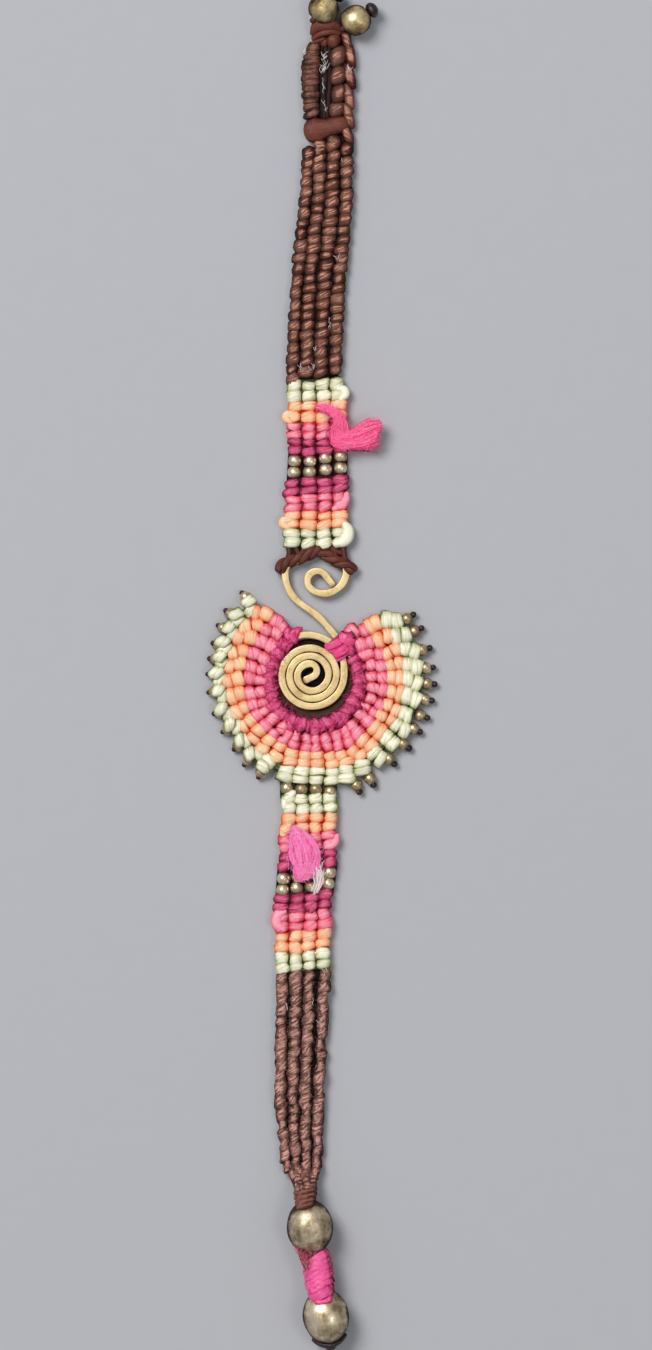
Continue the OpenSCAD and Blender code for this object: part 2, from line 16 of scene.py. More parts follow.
import bmesh
import bpy
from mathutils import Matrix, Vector

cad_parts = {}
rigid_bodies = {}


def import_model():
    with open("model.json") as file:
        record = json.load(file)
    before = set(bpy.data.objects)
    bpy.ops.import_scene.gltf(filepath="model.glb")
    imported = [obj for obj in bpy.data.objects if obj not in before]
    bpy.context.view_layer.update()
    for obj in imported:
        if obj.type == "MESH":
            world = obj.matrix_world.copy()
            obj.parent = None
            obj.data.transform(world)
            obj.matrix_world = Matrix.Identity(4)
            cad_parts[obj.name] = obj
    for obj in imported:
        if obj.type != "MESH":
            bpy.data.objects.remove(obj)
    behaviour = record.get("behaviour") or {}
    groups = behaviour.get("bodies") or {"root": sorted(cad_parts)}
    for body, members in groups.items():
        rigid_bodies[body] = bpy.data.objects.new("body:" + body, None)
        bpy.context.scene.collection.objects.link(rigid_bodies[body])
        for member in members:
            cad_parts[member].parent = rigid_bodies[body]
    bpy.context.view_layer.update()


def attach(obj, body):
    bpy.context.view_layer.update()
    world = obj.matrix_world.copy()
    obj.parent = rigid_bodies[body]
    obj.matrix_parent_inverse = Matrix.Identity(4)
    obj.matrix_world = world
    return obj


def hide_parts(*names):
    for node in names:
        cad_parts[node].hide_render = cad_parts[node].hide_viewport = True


for leftover in list(bpy.data.objects):
    bpy.data.objects.remove(leftover)
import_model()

LOG = logging.getLogger("bracelet")
UP = Vector((0.0, 0.0, 1.0))
# Metres in a millimetre, and millimetres in a pixel of the photograph
MM = 0.001
PX = 0.16
# The pixel at the plan's origin, and the way from there to the frame's origin
PHOTO_ORIGIN = (320.0, 672.0)
SHIFT = Vector((-0.042, -0.447, 0.0))
# Cord width that the UV maps count in, height of the strap's middle, its thickness, and the gap over the board
CORD_D = 1.2
STRAP_Z = 1.1
STRAP_THICKNESS = 2.2
BOARD_GAP = 0.01
# Steps of a cord's rounded end: how far on and how wide, as shares of its half width
ROUNDING = ((0.45, 0.88), (0.8, 0.58), (0.97, 0.2))
# Half width of a frayed fibre, lean of the fuzz in radians, and step between the seeds of one tree
FRAY_HALF = 0.027
FUZZ_LEAN = 0.9
SEED_STEP = 7.0
# Scales of the finishes' noises on the object, which is in metres
BLOTCH_SCALE, GRAIN_SCALE = 850.0, 2900.0
CLOUD_SCALE, PIT_SCALE, HAMMER_SCALE = 420.0, 2600.0, 700.0
CHAR_SCALE, BOARD_SCALE = 1500.0, 300.0

Colour = tuple[float, float, float]
Screen = tuple[int, int, int]
Row = tuple[float, float]
Bend = tuple[float, float]
Place = tuple[float, float, float]
Patch = tuple[float, float, float, int]
Half = float | Callable[[float], float]
Socket = bpy.types.NodeSocket
Object = bpy.types.Object


def photo(x: float, y: float, z: float = 0.0) -> Vector:
    """Turns a pixel of the photograph, from its top left corner, into the plan, at height z."""
    return Vector(((x - PHOTO_ORIGIN[0]) * PX, (PHOTO_ORIGIN[1] - y) * PX, z))


def polar(centre: Vector, distance: float, direction: float, z: float = 0.0) -> Vector:
    """Place at a distance and a direction in degrees from a centre, at height z."""
    angle = math.radians(direction)
    return Vector((centre.x + distance * math.cos(angle), centre.y + distance * math.sin(angle), z))


def toward(direction: float) -> Vector:
    """A step of one millimetre in a direction in degrees."""
    return polar(Vector((0, 0, 0)), 1, direction)


def heading_of(way: Vector) -> float:
    """Direction of a way across the plan, in degrees."""
    return math.degrees(math.atan2(way.y, way.x))


def rested(at: Vector) -> Vector:
    """Lifts a point, in metres, that would lie under the board's surface."""
    return Vector((at.x, at.y, max(at.z, BOARD_GAP * MM)))


def lookup(at: float, rows: Sequence[Row]) -> float:
    """Reads a table of (place, value) rows, with straight lines between them.

    Args:
        at: Place to read.
        rows: The table, in rising order of place.

    Returns:
        The value there, or the nearest end's value outside the table.
    """
    if at <= rows[0][0]:
        return rows[0][1]
    for (a, low), (b, high) in zip(rows, rows[1:]):
        if at <= b:
            return low + (high - low) * (at - a) / (b - a)
    return rows[-1][1]


def linear(red: int, green: int, blue: int) -> Colour:
    """Turns a colour as a screen shows it, 0 to 255, into the values that a shader takes."""
    values = [c / 255 for c in (red, green, blue)]
    return tuple(c / 12.92 if c <= 0.04045 else ((c + 0.055) / 1.055) ** 2.4 for c in values)


def smooth(points: Sequence[Vector], steps: int = 6) -> list[Vector]:
    """Rounds a line of points off.

    Args:
        points: Points that the line goes through.
        steps: Stretches between two of them.

    Returns:
        Points of a Catmull-Rom curve through the given ones.
    """
    ends = [2 * points[0] - points[1], *points, 2 * points[-1] - points[-2]]
    out = []
    for a, b, c, d in zip(ends, ends[1:], ends[2:], ends[3:]):
        for i in range(steps):
            t = i / steps
            bent = 2 * b + (c - a) * t + (2 * a - 5 * b + 4 * c - d) * t**2 + (3 * b - a - 3 * c + d) * t**3
            out.append(0.5 * bent)
    return [*out, points[-1].copy()]


def trace(pixels: Sequence[Sequence[float]], steps: int = 6, z: float = 0.0) -> list[Vector]:
    """A smooth line through rows of x and y in pixels, at height z or at a height of their own."""
    return smooth([photo(*row[:2], row[2] if len(row) > 2 else z) for row in pixels], steps)


class Mark(Enum):
    """Names of the values that a mesh carries for its finish."""

    # Painted shade in crevices, on flanks and undersides; on turned brass also its patina near the holes
    DEEP = "deep"
    # Painted shade that a whole knot gets from its spot
    SHADE = "shade"
    TINT = "tint"


class Nodes:
    """A tree of nodes under construction."""

    def __init__(self, tree: bpy.types.NodeTree) -> None:
        """Takes the empty tree."""
        self.tree = tree

    def node(self, kind: str, settings: dict | None = None, inputs: dict | None = None) -> bpy.types.Node:
        """Adds a node.

        Args:
            kind: The node's type.
            settings: Its properties, set first.
            inputs: Values, Terms or sockets for its inputs, by name or number.

        Returns:
            The node.
        """
        made = self.tree.nodes.new(kind)
        for name, value in (settings or {}).items():
            setattr(made, name, value)
        for key, value in (inputs or {}).items():
            if isinstance(value, Term):
                value = value.socket
            if isinstance(value, bpy.types.NodeSocket):
                self.tree.links.new(value, made.inputs[key])
            else:
                made.inputs[key].default_value = value
        return made

    def out(self, kind: str, settings: dict | None = None, inputs: dict | None = None, name: int | str = 0) -> Socket:
        """Adds a node and hands over its output of that name or number."""
        return self.node(kind, settings, inputs).outputs[name]


class Term:
    """A value inside a shader that Python's operators work on."""

    def __init__(self, shader: "Shader", socket: Socket) -> None:
        """Wraps an output socket of the shader."""
        self.shader = shader
        self.socket = socket

    def __add__(self, other: "Term | float") -> "Term":
        """Sum."""
        return self.shader.math("ADD", self, other)

    def __radd__(self, other: float) -> "Term":
        """Sum with a number on the left."""
        return self.shader.math("ADD", other, self)

    def __sub__(self, other: "Term | float") -> "Term":
        """Difference."""
        return self.shader.math("SUBTRACT", self, other)

    def __rsub__(self, other: float) -> "Term":
        """Difference from a number."""
        return self.shader.math("SUBTRACT", other, self)

    def __mul__(self, other: "Term | float") -> "Term":
        """Product."""
        return self.shader.math("MULTIPLY", self, other)

    def __rmul__(self, other: float) -> "Term":
        """Product with a number on the left."""
        return self.shader.math("MULTIPLY", other, self)

    def over(self, other: "Term | float") -> "Term":
        """The greater of the two."""
        return self.shader.math("MAXIMUM", self, other)

    def clamp(self) -> "Term":
        """The value kept between 0 and 1."""
        return self.shader.term("ShaderNodeClamp", {}, {"Value": self})

    def between(self, low: float, high: float) -> "Term":
        """0 below low, 1 above high and a straight line between."""
        sockets = {"Value": self, "From Min": low, "From Max": high}
        return self.shader.term("ShaderNodeMapRange", {"clamp": True}, sockets)


class Shader(Nodes):
    """Nodes of one material."""

    def __init__(self, name: str) -> None:
        """Starts an empty material of that name."""
        self.material = bpy.data.materials.new(name)
        self.material.use_nodes = True
        super().__init__(self.material.node_tree)
        self.tree.nodes.clear()

    def term(self, kind: str, settings: dict | None = None, inputs: dict | None = None, name: int | str = 0) -> Term:
        """Adds a node and hands over one output to calculate with."""
        return Term(self, self.out(kind, settings, inputs, name))

    def math(self, operation: str, *values: "Term | float") -> Term:
        """Adds a Math node on one to three values."""
        return self.term("ShaderNodeMath", {"operation": operation}, dict(enumerate(values)))

    def mark(self, mark: Mark) -> Term:
        """Reads a value that the mesh carries."""
        return self.term("ShaderNodeAttribute", {"attribute_name": mark.value}, name="Fac")

    def cord_place(self) -> tuple[Term, Term]:
        """Distance along the cord and across it, in cord widths, from the UV map."""
        split = self.node("ShaderNodeSeparateXYZ", {}, {0: self.out("ShaderNodeTexCoord", name="UV")})
        return Term(self, split.outputs[0]), Term(self, split.outputs[1])

    def vector(self, *parts: "Term | float") -> Term:
        """Joins three values into a vector."""
        return self.term("ShaderNodeCombineXYZ", {}, dict(enumerate(parts)))

    def object_place(self) -> Term:
        """Place on the object, in metres."""
        return self.term("ShaderNodeTexCoord", name="Object")

    def noise(self, at: Term, scale: float, detail: float = 2.0, rough: float = 0.5) -> Term:
        """Noise between 0 and 1 at a place."""
        return self.term("ShaderNodeTexNoise", {}, {"Vector": at, "Scale": scale, "Detail": detail, "Roughness": rough})

    def ramp(self, at: Term, stops: Sequence[tuple[float, Colour]]) -> Term:
        """Colour from a ramp of (place, colour) rows."""
        made = self.node("ShaderNodeValToRGB", {}, {0: at})
        elements = made.color_ramp.elements
        while len(elements) < len(stops):
            elements.new(1.0)
        for element, (place, colour) in zip(elements, stops):
            element.position, element.color = place, (*colour, 1.0)
        return Term(self, made.outputs[0])

    def mix(self, share: "Term | float", first: "Term | Colour", second: "Term | Colour") -> Term:
        """Mixes two colours, with that share of the second."""
        first, second = (c if isinstance(c, Term) else (*c, 1.0) for c in (first, second))
        return self.term("ShaderNodeMix", {"data_type": "RGBA"}, {0: share, 6: first, 7: second}, 2)

    def finish(
        self, colour: Term, rough: "Term | float", height: Term, depth: float, **fixed: "Term | float"
    ) -> bpy.types.Material:
        """Joins everything to a Principled shader.

        Args:
            colour: Base colour.
            rough: Roughness.
            height: Height of the relief, 0 to 1.
            depth: Depth of the relief in metres.
            **fixed: Other sockets, such as Metallic, with spaces as underscores.

        Returns:
            The material.
        """
        bump = self.out("ShaderNodeBump", {}, {"Strength": 1.0, "Distance": depth, "Height": height})
        sockets = {"Base Color": colour, "Roughness": rough, "Normal": bump}
        sockets.update({name.replace("_", " "): value for name, value in fixed.items()})
        self.node("ShaderNodeOutputMaterial", {}, {0: self.out("ShaderNodeBsdfPrincipled", {}, sockets)})
        return self.material


@dataclass(frozen=True)
class CordFinish:
    """Knotted cord: satin fibres along it, a fine line between turns, and painted shade where the knots meet.

    Its colours, as a screen shows them, run from the painted highlight of the lit side over the body to the painted
    shade of the edge and of crevices.
    """

    name: str
    slot: str
    colours: tuple[Screen, Screen, Screen, Screen]
    rough: float = 0.42
    fibres: float = 11.0
    depth: float = 0.00008
    mottle: float = 0.35
    worn: float = 0.0
    seam: float = 0.24
    gloss: float = 0.3
    glow: float = 0.0
    shift: float = 0.3

    def build(self) -> bpy.types.Material:
        """Makes the material."""
        shader = Shader(self.name)
        lit, body, edge, crevice_shade = (linear(*colour) for colour in self.colours)
        along, across = shader.cord_place()
        tint = shader.mark(Mark.TINT)
        wobble = shader.noise(shader.vector(along * 0.9, across * 1.7, tint * 40), 1.0) * 0.6
        fibre = shader.noise(shader.vector(along * 1.1, across * self.fibres + wobble, tint * 23), 1.0, 3.0, 0.6)
        line = shader.math("ABSOLUTE", across - 0.42 - tint * 0.16 + (along - 1.0) * (tint - 0.2) * 0.45)
        seam = (1.0 - line.between(0.0, 0.075)) * tint.between(0.3, 0.6) * self.seam
        blotch = shader.noise(shader.object_place(), BLOTCH_SCALE, 3.0, 0.6)
        # Painted shade from the mesh's marks and from each knot's spot
        deep = shader.mark(Mark.DEEP).over(shader.mark(Mark.SHADE))
        # The fibres' relief adds painted sheen and shade; the seam is a dark line between turns, the blotches dirt
        dark = (deep + (0.5 - fibre) * self.mottle + seam + (0.5 - blotch) * 0.25).clamp()
        # The ramp paints light and shade: highlight, body, then the shade of the edge and of crevices
        colour = shader.ramp(dark, ((0.0, lit), (self.shift, body), (0.68, edge), (1.0, crevice_shade)))
        colour = shader.mix(tint * (1.0 - dark) * 0.3, colour, lit)
        colour = shader.mix((0.45 - tint).over(0.0) * 0.45, colour, edge)
        grain = shader.noise(shader.object_place(), GRAIN_SCALE, 2.0, 0.7)
        dust = (blotch * 0.4 + grain * 0.6).between(0.48, 0.6) * (1.0 - deep).clamp() * self.worn
        colour = shader.mix(dust, colour, lit)
        rough = self.rough + (0.5 - fibre) * 0.25 + deep * 0.3 + dust * 0.3
        fixed = {"Specular_IOR_Level": self.gloss}
        # Emission paints a glow on fibre that is no lamp
        if self.glow:
            fixed.update(Emission_Color=colour, Emission_Strength=self.glow)
        return shader.finish(colour, rough.clamp(), fibre * 0.8 - seam * 0.8, self.depth, **fixed)


@dataclass(frozen=True)
class BrassFinish:
    """Worn brass with dark patina in its hollows, painted shade on its flanks where the mesh marks it, and fine marks
    of hammer and brush.

    Its colours, as a screen shows them, are the bright one, the worn one and the patina, which the painted shade uses
    too.
    """

    name: str
    colours: tuple[Screen, Screen, Screen]
    age: float = 0.5
    rough: float = 0.3
    dents: float = 0.00006
    brushed: float = 0.0
    clouded: float = 0.55
    slot: str = "antique_brass"

    def build(self) -> bpy.types.Material:
        """Makes the material."""
        shader = Shader(self.name)
        bright, worn, patina = (linear(*colour) for colour in self.colours)
        at = shader.object_place()
        along, across = shader.cord_place()
        tint = shader.mark(Mark.TINT)
        clouds = shader.noise(at, CLOUD_SCALE, 4.0, 0.6)
        grains = shader.noise(at, PIT_SCALE, 2.0, 0.7)
        streaks = shader.noise(shader.vector(along * 0.7, across * 9.0, tint * 9), 1.0, 3.0, 0.7)
        blots = clouds.between(0.32, 0.68) * self.clouded
        # Patina from clouds, grains and the marks near the holes, with painted shade from the marks on the flanks
        age = blots + grains * 0.25 + shader.mark(Mark.DEEP) * 0.85 + tint * 0.12 + (self.age - 0.5) * 0.5
        age = age.between(0.32, 0.98)
        specks = grains.between(0.62, 0.7) * clouds.between(0.4, 0.6) * 0.5
        colour = shader.mix(clouds.between(0.35, 0.7), bright, worn)
        colour = shader.mix((0.5 - streaks).over(0.0) * self.brushed * 1.6, colour, patina)
        colour = shader.mix(age.over(specks), colour, patina)
        rough = self.rough + age * 0.32 + grains * 0.08 + streaks * self.brushed * 0.1
        height = shader.noise(at, HAMMER_SCALE, 2.0) * 0.6 + grains * 0.2 + streaks * self.brushed * 0.4
        return shader.finish(colour, rough.clamp(), height, self.dents, Metallic=(1.0 - age * 0.5).clamp())


@dataclass(frozen=True)
class CharFinish:
    """Cord end melted to a dark, glassy lump."""

    name: str
    body: Screen
    glow: Screen
    slot: str = "burnt_cord"

    def build(self) -> bpy.types.Material:
        """Makes the material."""
        shader = Shader(self.name)
        lumps = shader.noise(shader.object_place(), CHAR_SCALE, 4.0, 0.7)
        colour = shader.mix(lumps.between(0.45, 0.7), linear(*self.body), linear(*self.glow))
        return shader.finish(colour, 0.22 + lumps * 0.3, lumps, 0.00012)


@dataclass(frozen=True)
class FloorFinish:
    """Plain pale board."""

    name: str
    body: Screen
    grain: Screen

    def build(self) -> bpy.types.Material:
        """Makes the material."""
        shader = Shader(self.name)
        grain = shader.noise(shader.object_place(), BOARD_SCALE, 2.0)
        colour = shader.mix(grain * 0.06, linear(*self.body), linear(*self.grain))
        return shader.finish(colour, 0.75 + grain * 0.1, grain, 0.00002)


def _brown(name: str, *colours: Screen, **look: float) -> CordFinish:
    """A finish of the brown cord."""
    return CordFinish(name, "brown_cord", colours, **look)


def _fibre(name: str, *colours: Screen, slot: str = "loose_pink_fibre", **look: float) -> CordFinish:
    """A finish without seams, of loose or flat fibre."""
    return CordFinish(name, slot, colours, seam=0.0, **look)


def _dyed(name: str, slot: str, *colours: Screen, **look: float) -> CordFinish:
    """A finish of a dyed, knotted cord."""
    return CordFinish(name, slot, colours, fibres=7.0, **look)


class Look(Enum):
    """Every finish of the bracelet."""

    # Each cord's colours: painted highlight, body, painted shade of the edge, painted shade of crevices
    BROWN = _brown(
        "waxed_brown_cord", (210, 152, 128), (80, 37, 27), (27, 7, 4), (5, 1, 1),
        rough=0.4, mottle=0.85, gloss=0.14, shift=0.16,
    )
    FINE = _brown(
        "fine_brown_cord", (210, 152, 128), (80, 37, 27), (27, 7, 4), (5, 1, 1),
        rough=0.4, fibres=24.0, mottle=0.6, gloss=0.14, shift=0.16,
    )
    DUSTY = _brown(
        "worn_brown_cord", (212, 158, 144), (72, 37, 31), (24, 7, 4), (4, 1, 1),
        rough=0.5, mottle=1.25, worn=0.56, seam=0.4, gloss=0.14, shift=0.2,
    )
    PLAIN = _brown(
        "smooth_brown_cord", (142, 88, 74), (78, 37, 28), (38, 12, 8), (8, 2, 1),
        rough=0.4, mottle=0.95, gloss=0.25, shift=0.2,
    )
    AGED = _brown(
        "aged_brown_wrap", (150, 102, 86), (62, 28, 21), (26, 8, 5), (5, 1, 1),
        rough=0.45, mottle=1.1, worn=0.45, gloss=0.18, shift=0.15,
    )
    WRAP = _brown(
        "satin_brown_wrap", (114, 60, 46), (70, 28, 19), (38, 12, 8), (8, 2, 1),
        rough=0.45, fibres=12.0, mottle=0.8, worn=0.3, seam=0.0, gloss=0.27, shift=0.15,
    )
    GREEN = _dyed(
        "mint_cord", "green_cord", (255, 251, 226), (205, 203, 158), (108, 122, 60), (24, 30, 7),
        rough=0.36, mottle=0.8,
    )
    ORANGE = _dyed(
        "peach_cord", "orange_cord", (255, 214, 172), (255, 162, 110), (230, 84, 40), (124, 18, 4),
        rough=0.34, mottle=0.8, gloss=0.34,
    )
    PINK = _dyed(
        "coral_pink_cord", "pink_cord", (255, 164, 182), (241, 86, 112), (184, 16, 50), (76, 2, 14),
        rough=0.34, mottle=0.9, gloss=0.36,
    )
    MAGENTA = _dyed(
        "magenta_cord", "magenta_cord", (226, 106, 142), (168, 31, 80), (96, 5, 36), (30, 1, 10),
        rough=0.5, mottle=0.9, gloss=0.2,
    )
    BRIGHT = _dyed(
        "bright_magenta_cord", "magenta_cord", (242, 112, 158), (190, 34, 92), (108, 5, 44), (32, 1, 12),
        rough=0.5, mottle=0.9, gloss=0.2,
    )
    SATIN = _fibre(
        "satin_magenta_cord", (250, 98, 162), (207, 30, 106), (118, 6, 54), (40, 2, 18),
        rough=0.32, fibres=9.0, mottle=0.8, gloss=0.45, shift=0.22,
    )
    BOUND = _fibre(
        "satin_binding_cord", (240, 80, 140), (194, 20, 90), (110, 5, 46), (36, 2, 16),
        slot="magenta_cord", rough=0.34, fibres=9.0, mottle=0.8, gloss=0.4, shift=0.14,
    )
    # The next three fibres glow by emission: a painted glow
    HOT_PINK = _fibre(
        "hot_pink_fibre", (255, 164, 206), (255, 86, 150), (240, 38, 108), (160, 8, 60),
        rough=0.5, mottle=0.9, glow=0.2,
    )
    VIOLET_PINK = _fibre(
        "violet_pink_fibre", (255, 194, 232), (255, 112, 184), (226, 36, 120), (140, 6, 62),
        rough=0.5, mottle=0.9, glow=0.2,
    )
    PALE = _fibre(
        "pale_frayed_fibre", (255, 250, 248), (244, 230, 228), (206, 180, 176), (128, 96, 90), rough=0.6, glow=0.3
    )
    BEAD = BrassFinish("antique_brass_bead", ((255, 238, 206), (208, 180, 136), (54, 34, 18)), 0.6, brushed=0.7)
    SMALL_BEAD = BrassFinish("small_brass_bead", ((255, 240, 208), (226, 200, 158), (62, 40, 22)), 0.44, brushed=0.3)
    GOLD_BEAD = BrassFinish(
        "brushed_brass_bead", ((252, 230, 178), (196, 163, 98), (50, 33, 13)), 0.58, 0.33, brushed=0.9
    )
    DARK_BEAD = BrassFinish("dark_brass_bead", ((244, 222, 180), (184, 154, 110), (50, 33, 18)), 0.56, 0.26)
    WIRE = BrassFinish(
        "hammered_brass_wire", ((238, 214, 162), (216, 186, 131), (80, 54, 24)), 0.32, 0.44, 0.00005, 0.9, 0.3
    )
    CHAR = CharFinish("burnt_cord", (14, 7, 7), (74, 20, 26))
    FLOOR = FloorFinish("pale_board", (180, 180, 184), (150, 150, 154))


class MeshMaker:
    """Collects closed tubes in millimetres and makes one mesh of them."""

    def __init__(self) -> None:
        """Starts empty."""
        self.points: list[Vector] = []
        self.faces: list[tuple[int, ...]] = []
        self.corners: list[tuple[float, float]] = []
        self.marks: dict[Mark, list[float]] = {Mark.DEEP: [], Mark.TINT: []}

    def tube(
        self,
        rings: Sequence[Sequence[Vector]],
        along: Sequence[float],
        around: float,
        deep: Callable[[int, int], float],
        tint: float = 0.5,
        wrapped: bool = False,
    ) -> None:
        """Adds a closed tube.

        Args:
            rings: Rings of points, all of one length.
            along: Each ring's distance along the tube, in cord widths.
            around: Length of a ring, in cord widths.
            deep: Painted shade, and on turned brass its patina, from a ring's and a point's number.
            tint: The tube's own shade, 0 to 1.
            wrapped: True where the cord runs round the tube and not along it.
        """
        start, sides = len(self.points), len(rings[0])
        for i, ring in enumerate(rings):
            self.points.extend(ring)
            self.marks[Mark.DEEP].extend(deep(i, j) for j in range(sides))
            self.marks[Mark.TINT].extend([tint] * sides)
        for i in range(len(rings) - 1):
            for j in range(sides):
                k = (j + 1) % sides
                a = start + i * sides
                self.faces.append((a + j, a + k, a + sides + k, a + sides + j))
                u, v = (j / sides * around, (j + 1) / sides * around)
                square = ((along[i], u), (along[i], v), (along[i + 1], v), (along[i + 1], u))
                self.corners.extend((b, a) if wrapped else (a, b) for a, b in square)
        for i in (0, len(rings) - 1):
            cap = [start + i * sides + j for j in range(sides)]
            self.faces.append(tuple(reversed(cap)) if i == 0 else tuple(cap))
            self.corners.extend([(along[i], 0.0)] * sides)

    def sweep(
        self,
        path: Sequence[Vector],
        half_w: Half,
        half_h: Half | None = None,
        sides: int = 8,
        tint: float = 0.5,
        deep: float = 0.0,
        square: float = 1.0,
    ) -> None:
        """Adds a cord along a path, with rounded ends.

        Args:
            path: Points in millimetres.
            half_w: Half of its width, a number or a function of the share of the path.
            half_h: Half of its height, the same way. Its width if left out.
            sides: Points around.
            tint: Its own shade, 0 to 1.
            deep: Painted shade on top. The sides and the underside get more painted shade.
            square: Under 1 for a flattened section.
        """
        half_h = half_w if half_h is None else half_h
        wide = half_w if callable(half_w) else lambda t: half_w
        high = half_h if callable(half_h) else lambda t: half_h
        lengths = [0.0]
        for a, b in zip(path, path[1:]):
            lengths.append(lengths[-1] + (b - a).length)
        total = lengths[-1]
        stations = []
        side = Vector((1, 0, 0))
        for i, point in enumerate(path):
            tangent = (path[min(i + 1, len(path) - 1)] - path[max(i - 1, 0)]).normalized()
            across = tangent.cross(UP)
            side = across.normalized() if across.length > 0.3 else (side - tangent * side.dot(tangent)).normalized()
            stations.append((point, tangent, side, lengths[i], 1.0))
        (start, out, flank, *_), (end, onward, last_flank, *_) = stations[0], stations[-1]
        r = min(wide(0.0), high(0.0))
        before = [(start - out * r * push, out, flank, 0.0, scale) for push, scale in reversed(ROUNDING)]
        r = min(wide(1.0), high(1.0))
        after = [(end + onward * r * push, onward, last_flank, total, scale) for push, scale in ROUNDING]
        rings, along = [], []
        for point, tangent, side, length, scale in [*before, *stations, *after]:
            up = side.cross(tangent).normalized()
            t = length / total
            ring = []
            for j in range(sides):
                angle = math.tau * j / sides
                c, s = (math.copysign(abs(v) ** square, v) for v in (math.cos(angle), math.sin(angle)))
                ring.append(point + side * c * wide(t) * scale + up * s * high(t) * scale)
            rings.append(ring)
            along.append(length / CORD_D)
        around = math.tau * (wide(0.5) + high(0.5)) / 2 / CORD_D
        # Painted shade: more of it on the sides and the underside than on top
        lift = [max(0.0, math.sin(math.tau * j / sides)) for j in range(sides)]
        self.tube(rings, along, max(1.0, round(around)), lambda i, j: min(1.0, deep + 0.45 * (1 - lift[j]) ** 2), tint)

    def rope(
        self, path: Sequence[Vector], radius: float, strands: int, pitch: float, tint: float = 0.5, deep: float = 0.0
    ) -> None:
        """Adds strands twisted round each other along a path.

        Args:
            path: Points in millimetres.
            radius: The whole rope's.
            strands: How many.
            pitch: Length of one turn.
            tint: The first strand's shade.
            deep: Painted shade on top.
        """
        run, lines = 0.0, [[] for _ in range(strands)]
        for i, point in enumerate(path):
            run += (point - path[i - 1]).length if i else 0.0
            tangent = (path[min(i + 1, len(path) - 1)] - path[max(i - 1, 0)]).normalized()
            side = tangent.cross(UP).normalized()
            up = side.cross(tangent)
            for k, line in enumerate(lines):
                angle = math.tau * (run / pitch + k / strands)
                line.append(point + (side * math.cos(angle) + up * math.sin(angle)) * radius * 0.45)
        for k, line in enumerate(lines):
            self.sweep(line, radius * 0.58, tint=(tint + 0.31 * k) % 1, deep=deep)

    def lathe(
        self,
        at: Vector,
        axis: Vector,
        profile: Sequence[Row],
        sides: int,
        tint: float,
        deep: Callable[[float], float],
        lumps: float,
        seed: int,
        rim: float = 0.4,
    ) -> None:
        """Adds a turned piece.

        Args:
            at: Its middle.
            axis: Direction of its axis.
            profile: (distance along the axis, radius) rows, as a closed outline for a ring.
            sides: Points around.
            tint: Its own shade.
            deep: Patina from a row's distance along the axis.
            lumps: How uneven its surface is, in millimetres.
            seed: Seed of that unevenness.
            rim: Painted shade at the sides and underneath, as seen from above.
        """
        chance = random.Random(seed)
        waves = [(chance.uniform(0, math.tau), chance.randint(2, 4), chance.uniform(0.6, 1.6)) for _ in range(3)]
        axis = axis.normalized()
        side = axis.cross(UP).normalized()
        up = side.cross(axis)
        rings = []
        for s, r in profile:
            ring = []
            for j in range(sides):
                angle = math.tau * j / sides
                bump = lumps * sum(math.sin(n * angle + p + k * s) for p, n, k in waves) / 3
                out = side * math.cos(angle) + up * math.sin(angle)
                ring.append(at + axis * s + out * max(0.01, r + bump * (r > 0.3)))
            rings.append(ring)
        along = [s / CORD_D for s, _ in profile]
        # Painted shade on the flanks and the underside
        rim_shade = [rim * (1 - max(0.0, math.sin(math.tau * j / sides))) ** 1.3 for j in range(sides)]
        self.tube(rings, along, 4.0, lambda i, j: min(1.0, deep(profile[i][0]) + rim_shade[j]), tint)

    def mesh(self, name: str, flat: bool = False) -> bpy.types.Mesh:
        """Makes the mesh, in metres, with its UV map and marks.

        Args:
            name: The mesh's name.
            flat: True for a shape that other pieces repeat: it stays in its own units.

        Returns:
            The mesh.
        """
        made = bpy.data.meshes.new(name)
        places = self.points if flat else [rested((p + SHIFT) * MM) for p in self.points]
        made.from_pydata(places, [], self.faces)
        uv = made.uv_layers.new(name="UVMap")
        for loop, corner in zip(uv.data, self.corners):
            loop.uv = corner
        for mark, values in self.marks.items():
            attribute = made.attributes.new(mark.value, "FLOAT", "POINT")
            attribute.data.foreach_set("value", values)
        made.polygons.foreach_set("use_smooth", [True] * len(made.polygons))
        body = bmesh.new()
        body.from_mesh(made)
        bmesh.ops.recalc_face_normals(body, faces=body.faces)
        body.to_mesh(made)
        body.free()
        return made

    def stamp(self, name: str) -> Object:
        """Makes a shape that other pieces repeat. It gets its tint where it is set."""
        made = bpy.data.objects.new(name, self.mesh(name, flat=True))
        made.data.attributes.remove(made.data.attributes[Mark.TINT.value])
        return made

    def piece(self, name: str, finish: bpy.types.Material) -> Object:
        """Makes an object of the mesh, with its finish."""
        made = bpy.data.objects.new(name, self.mesh(name))
        made.data.materials.append(finish)
        bpy.context.scene.collection.objects.link(made)
        return made


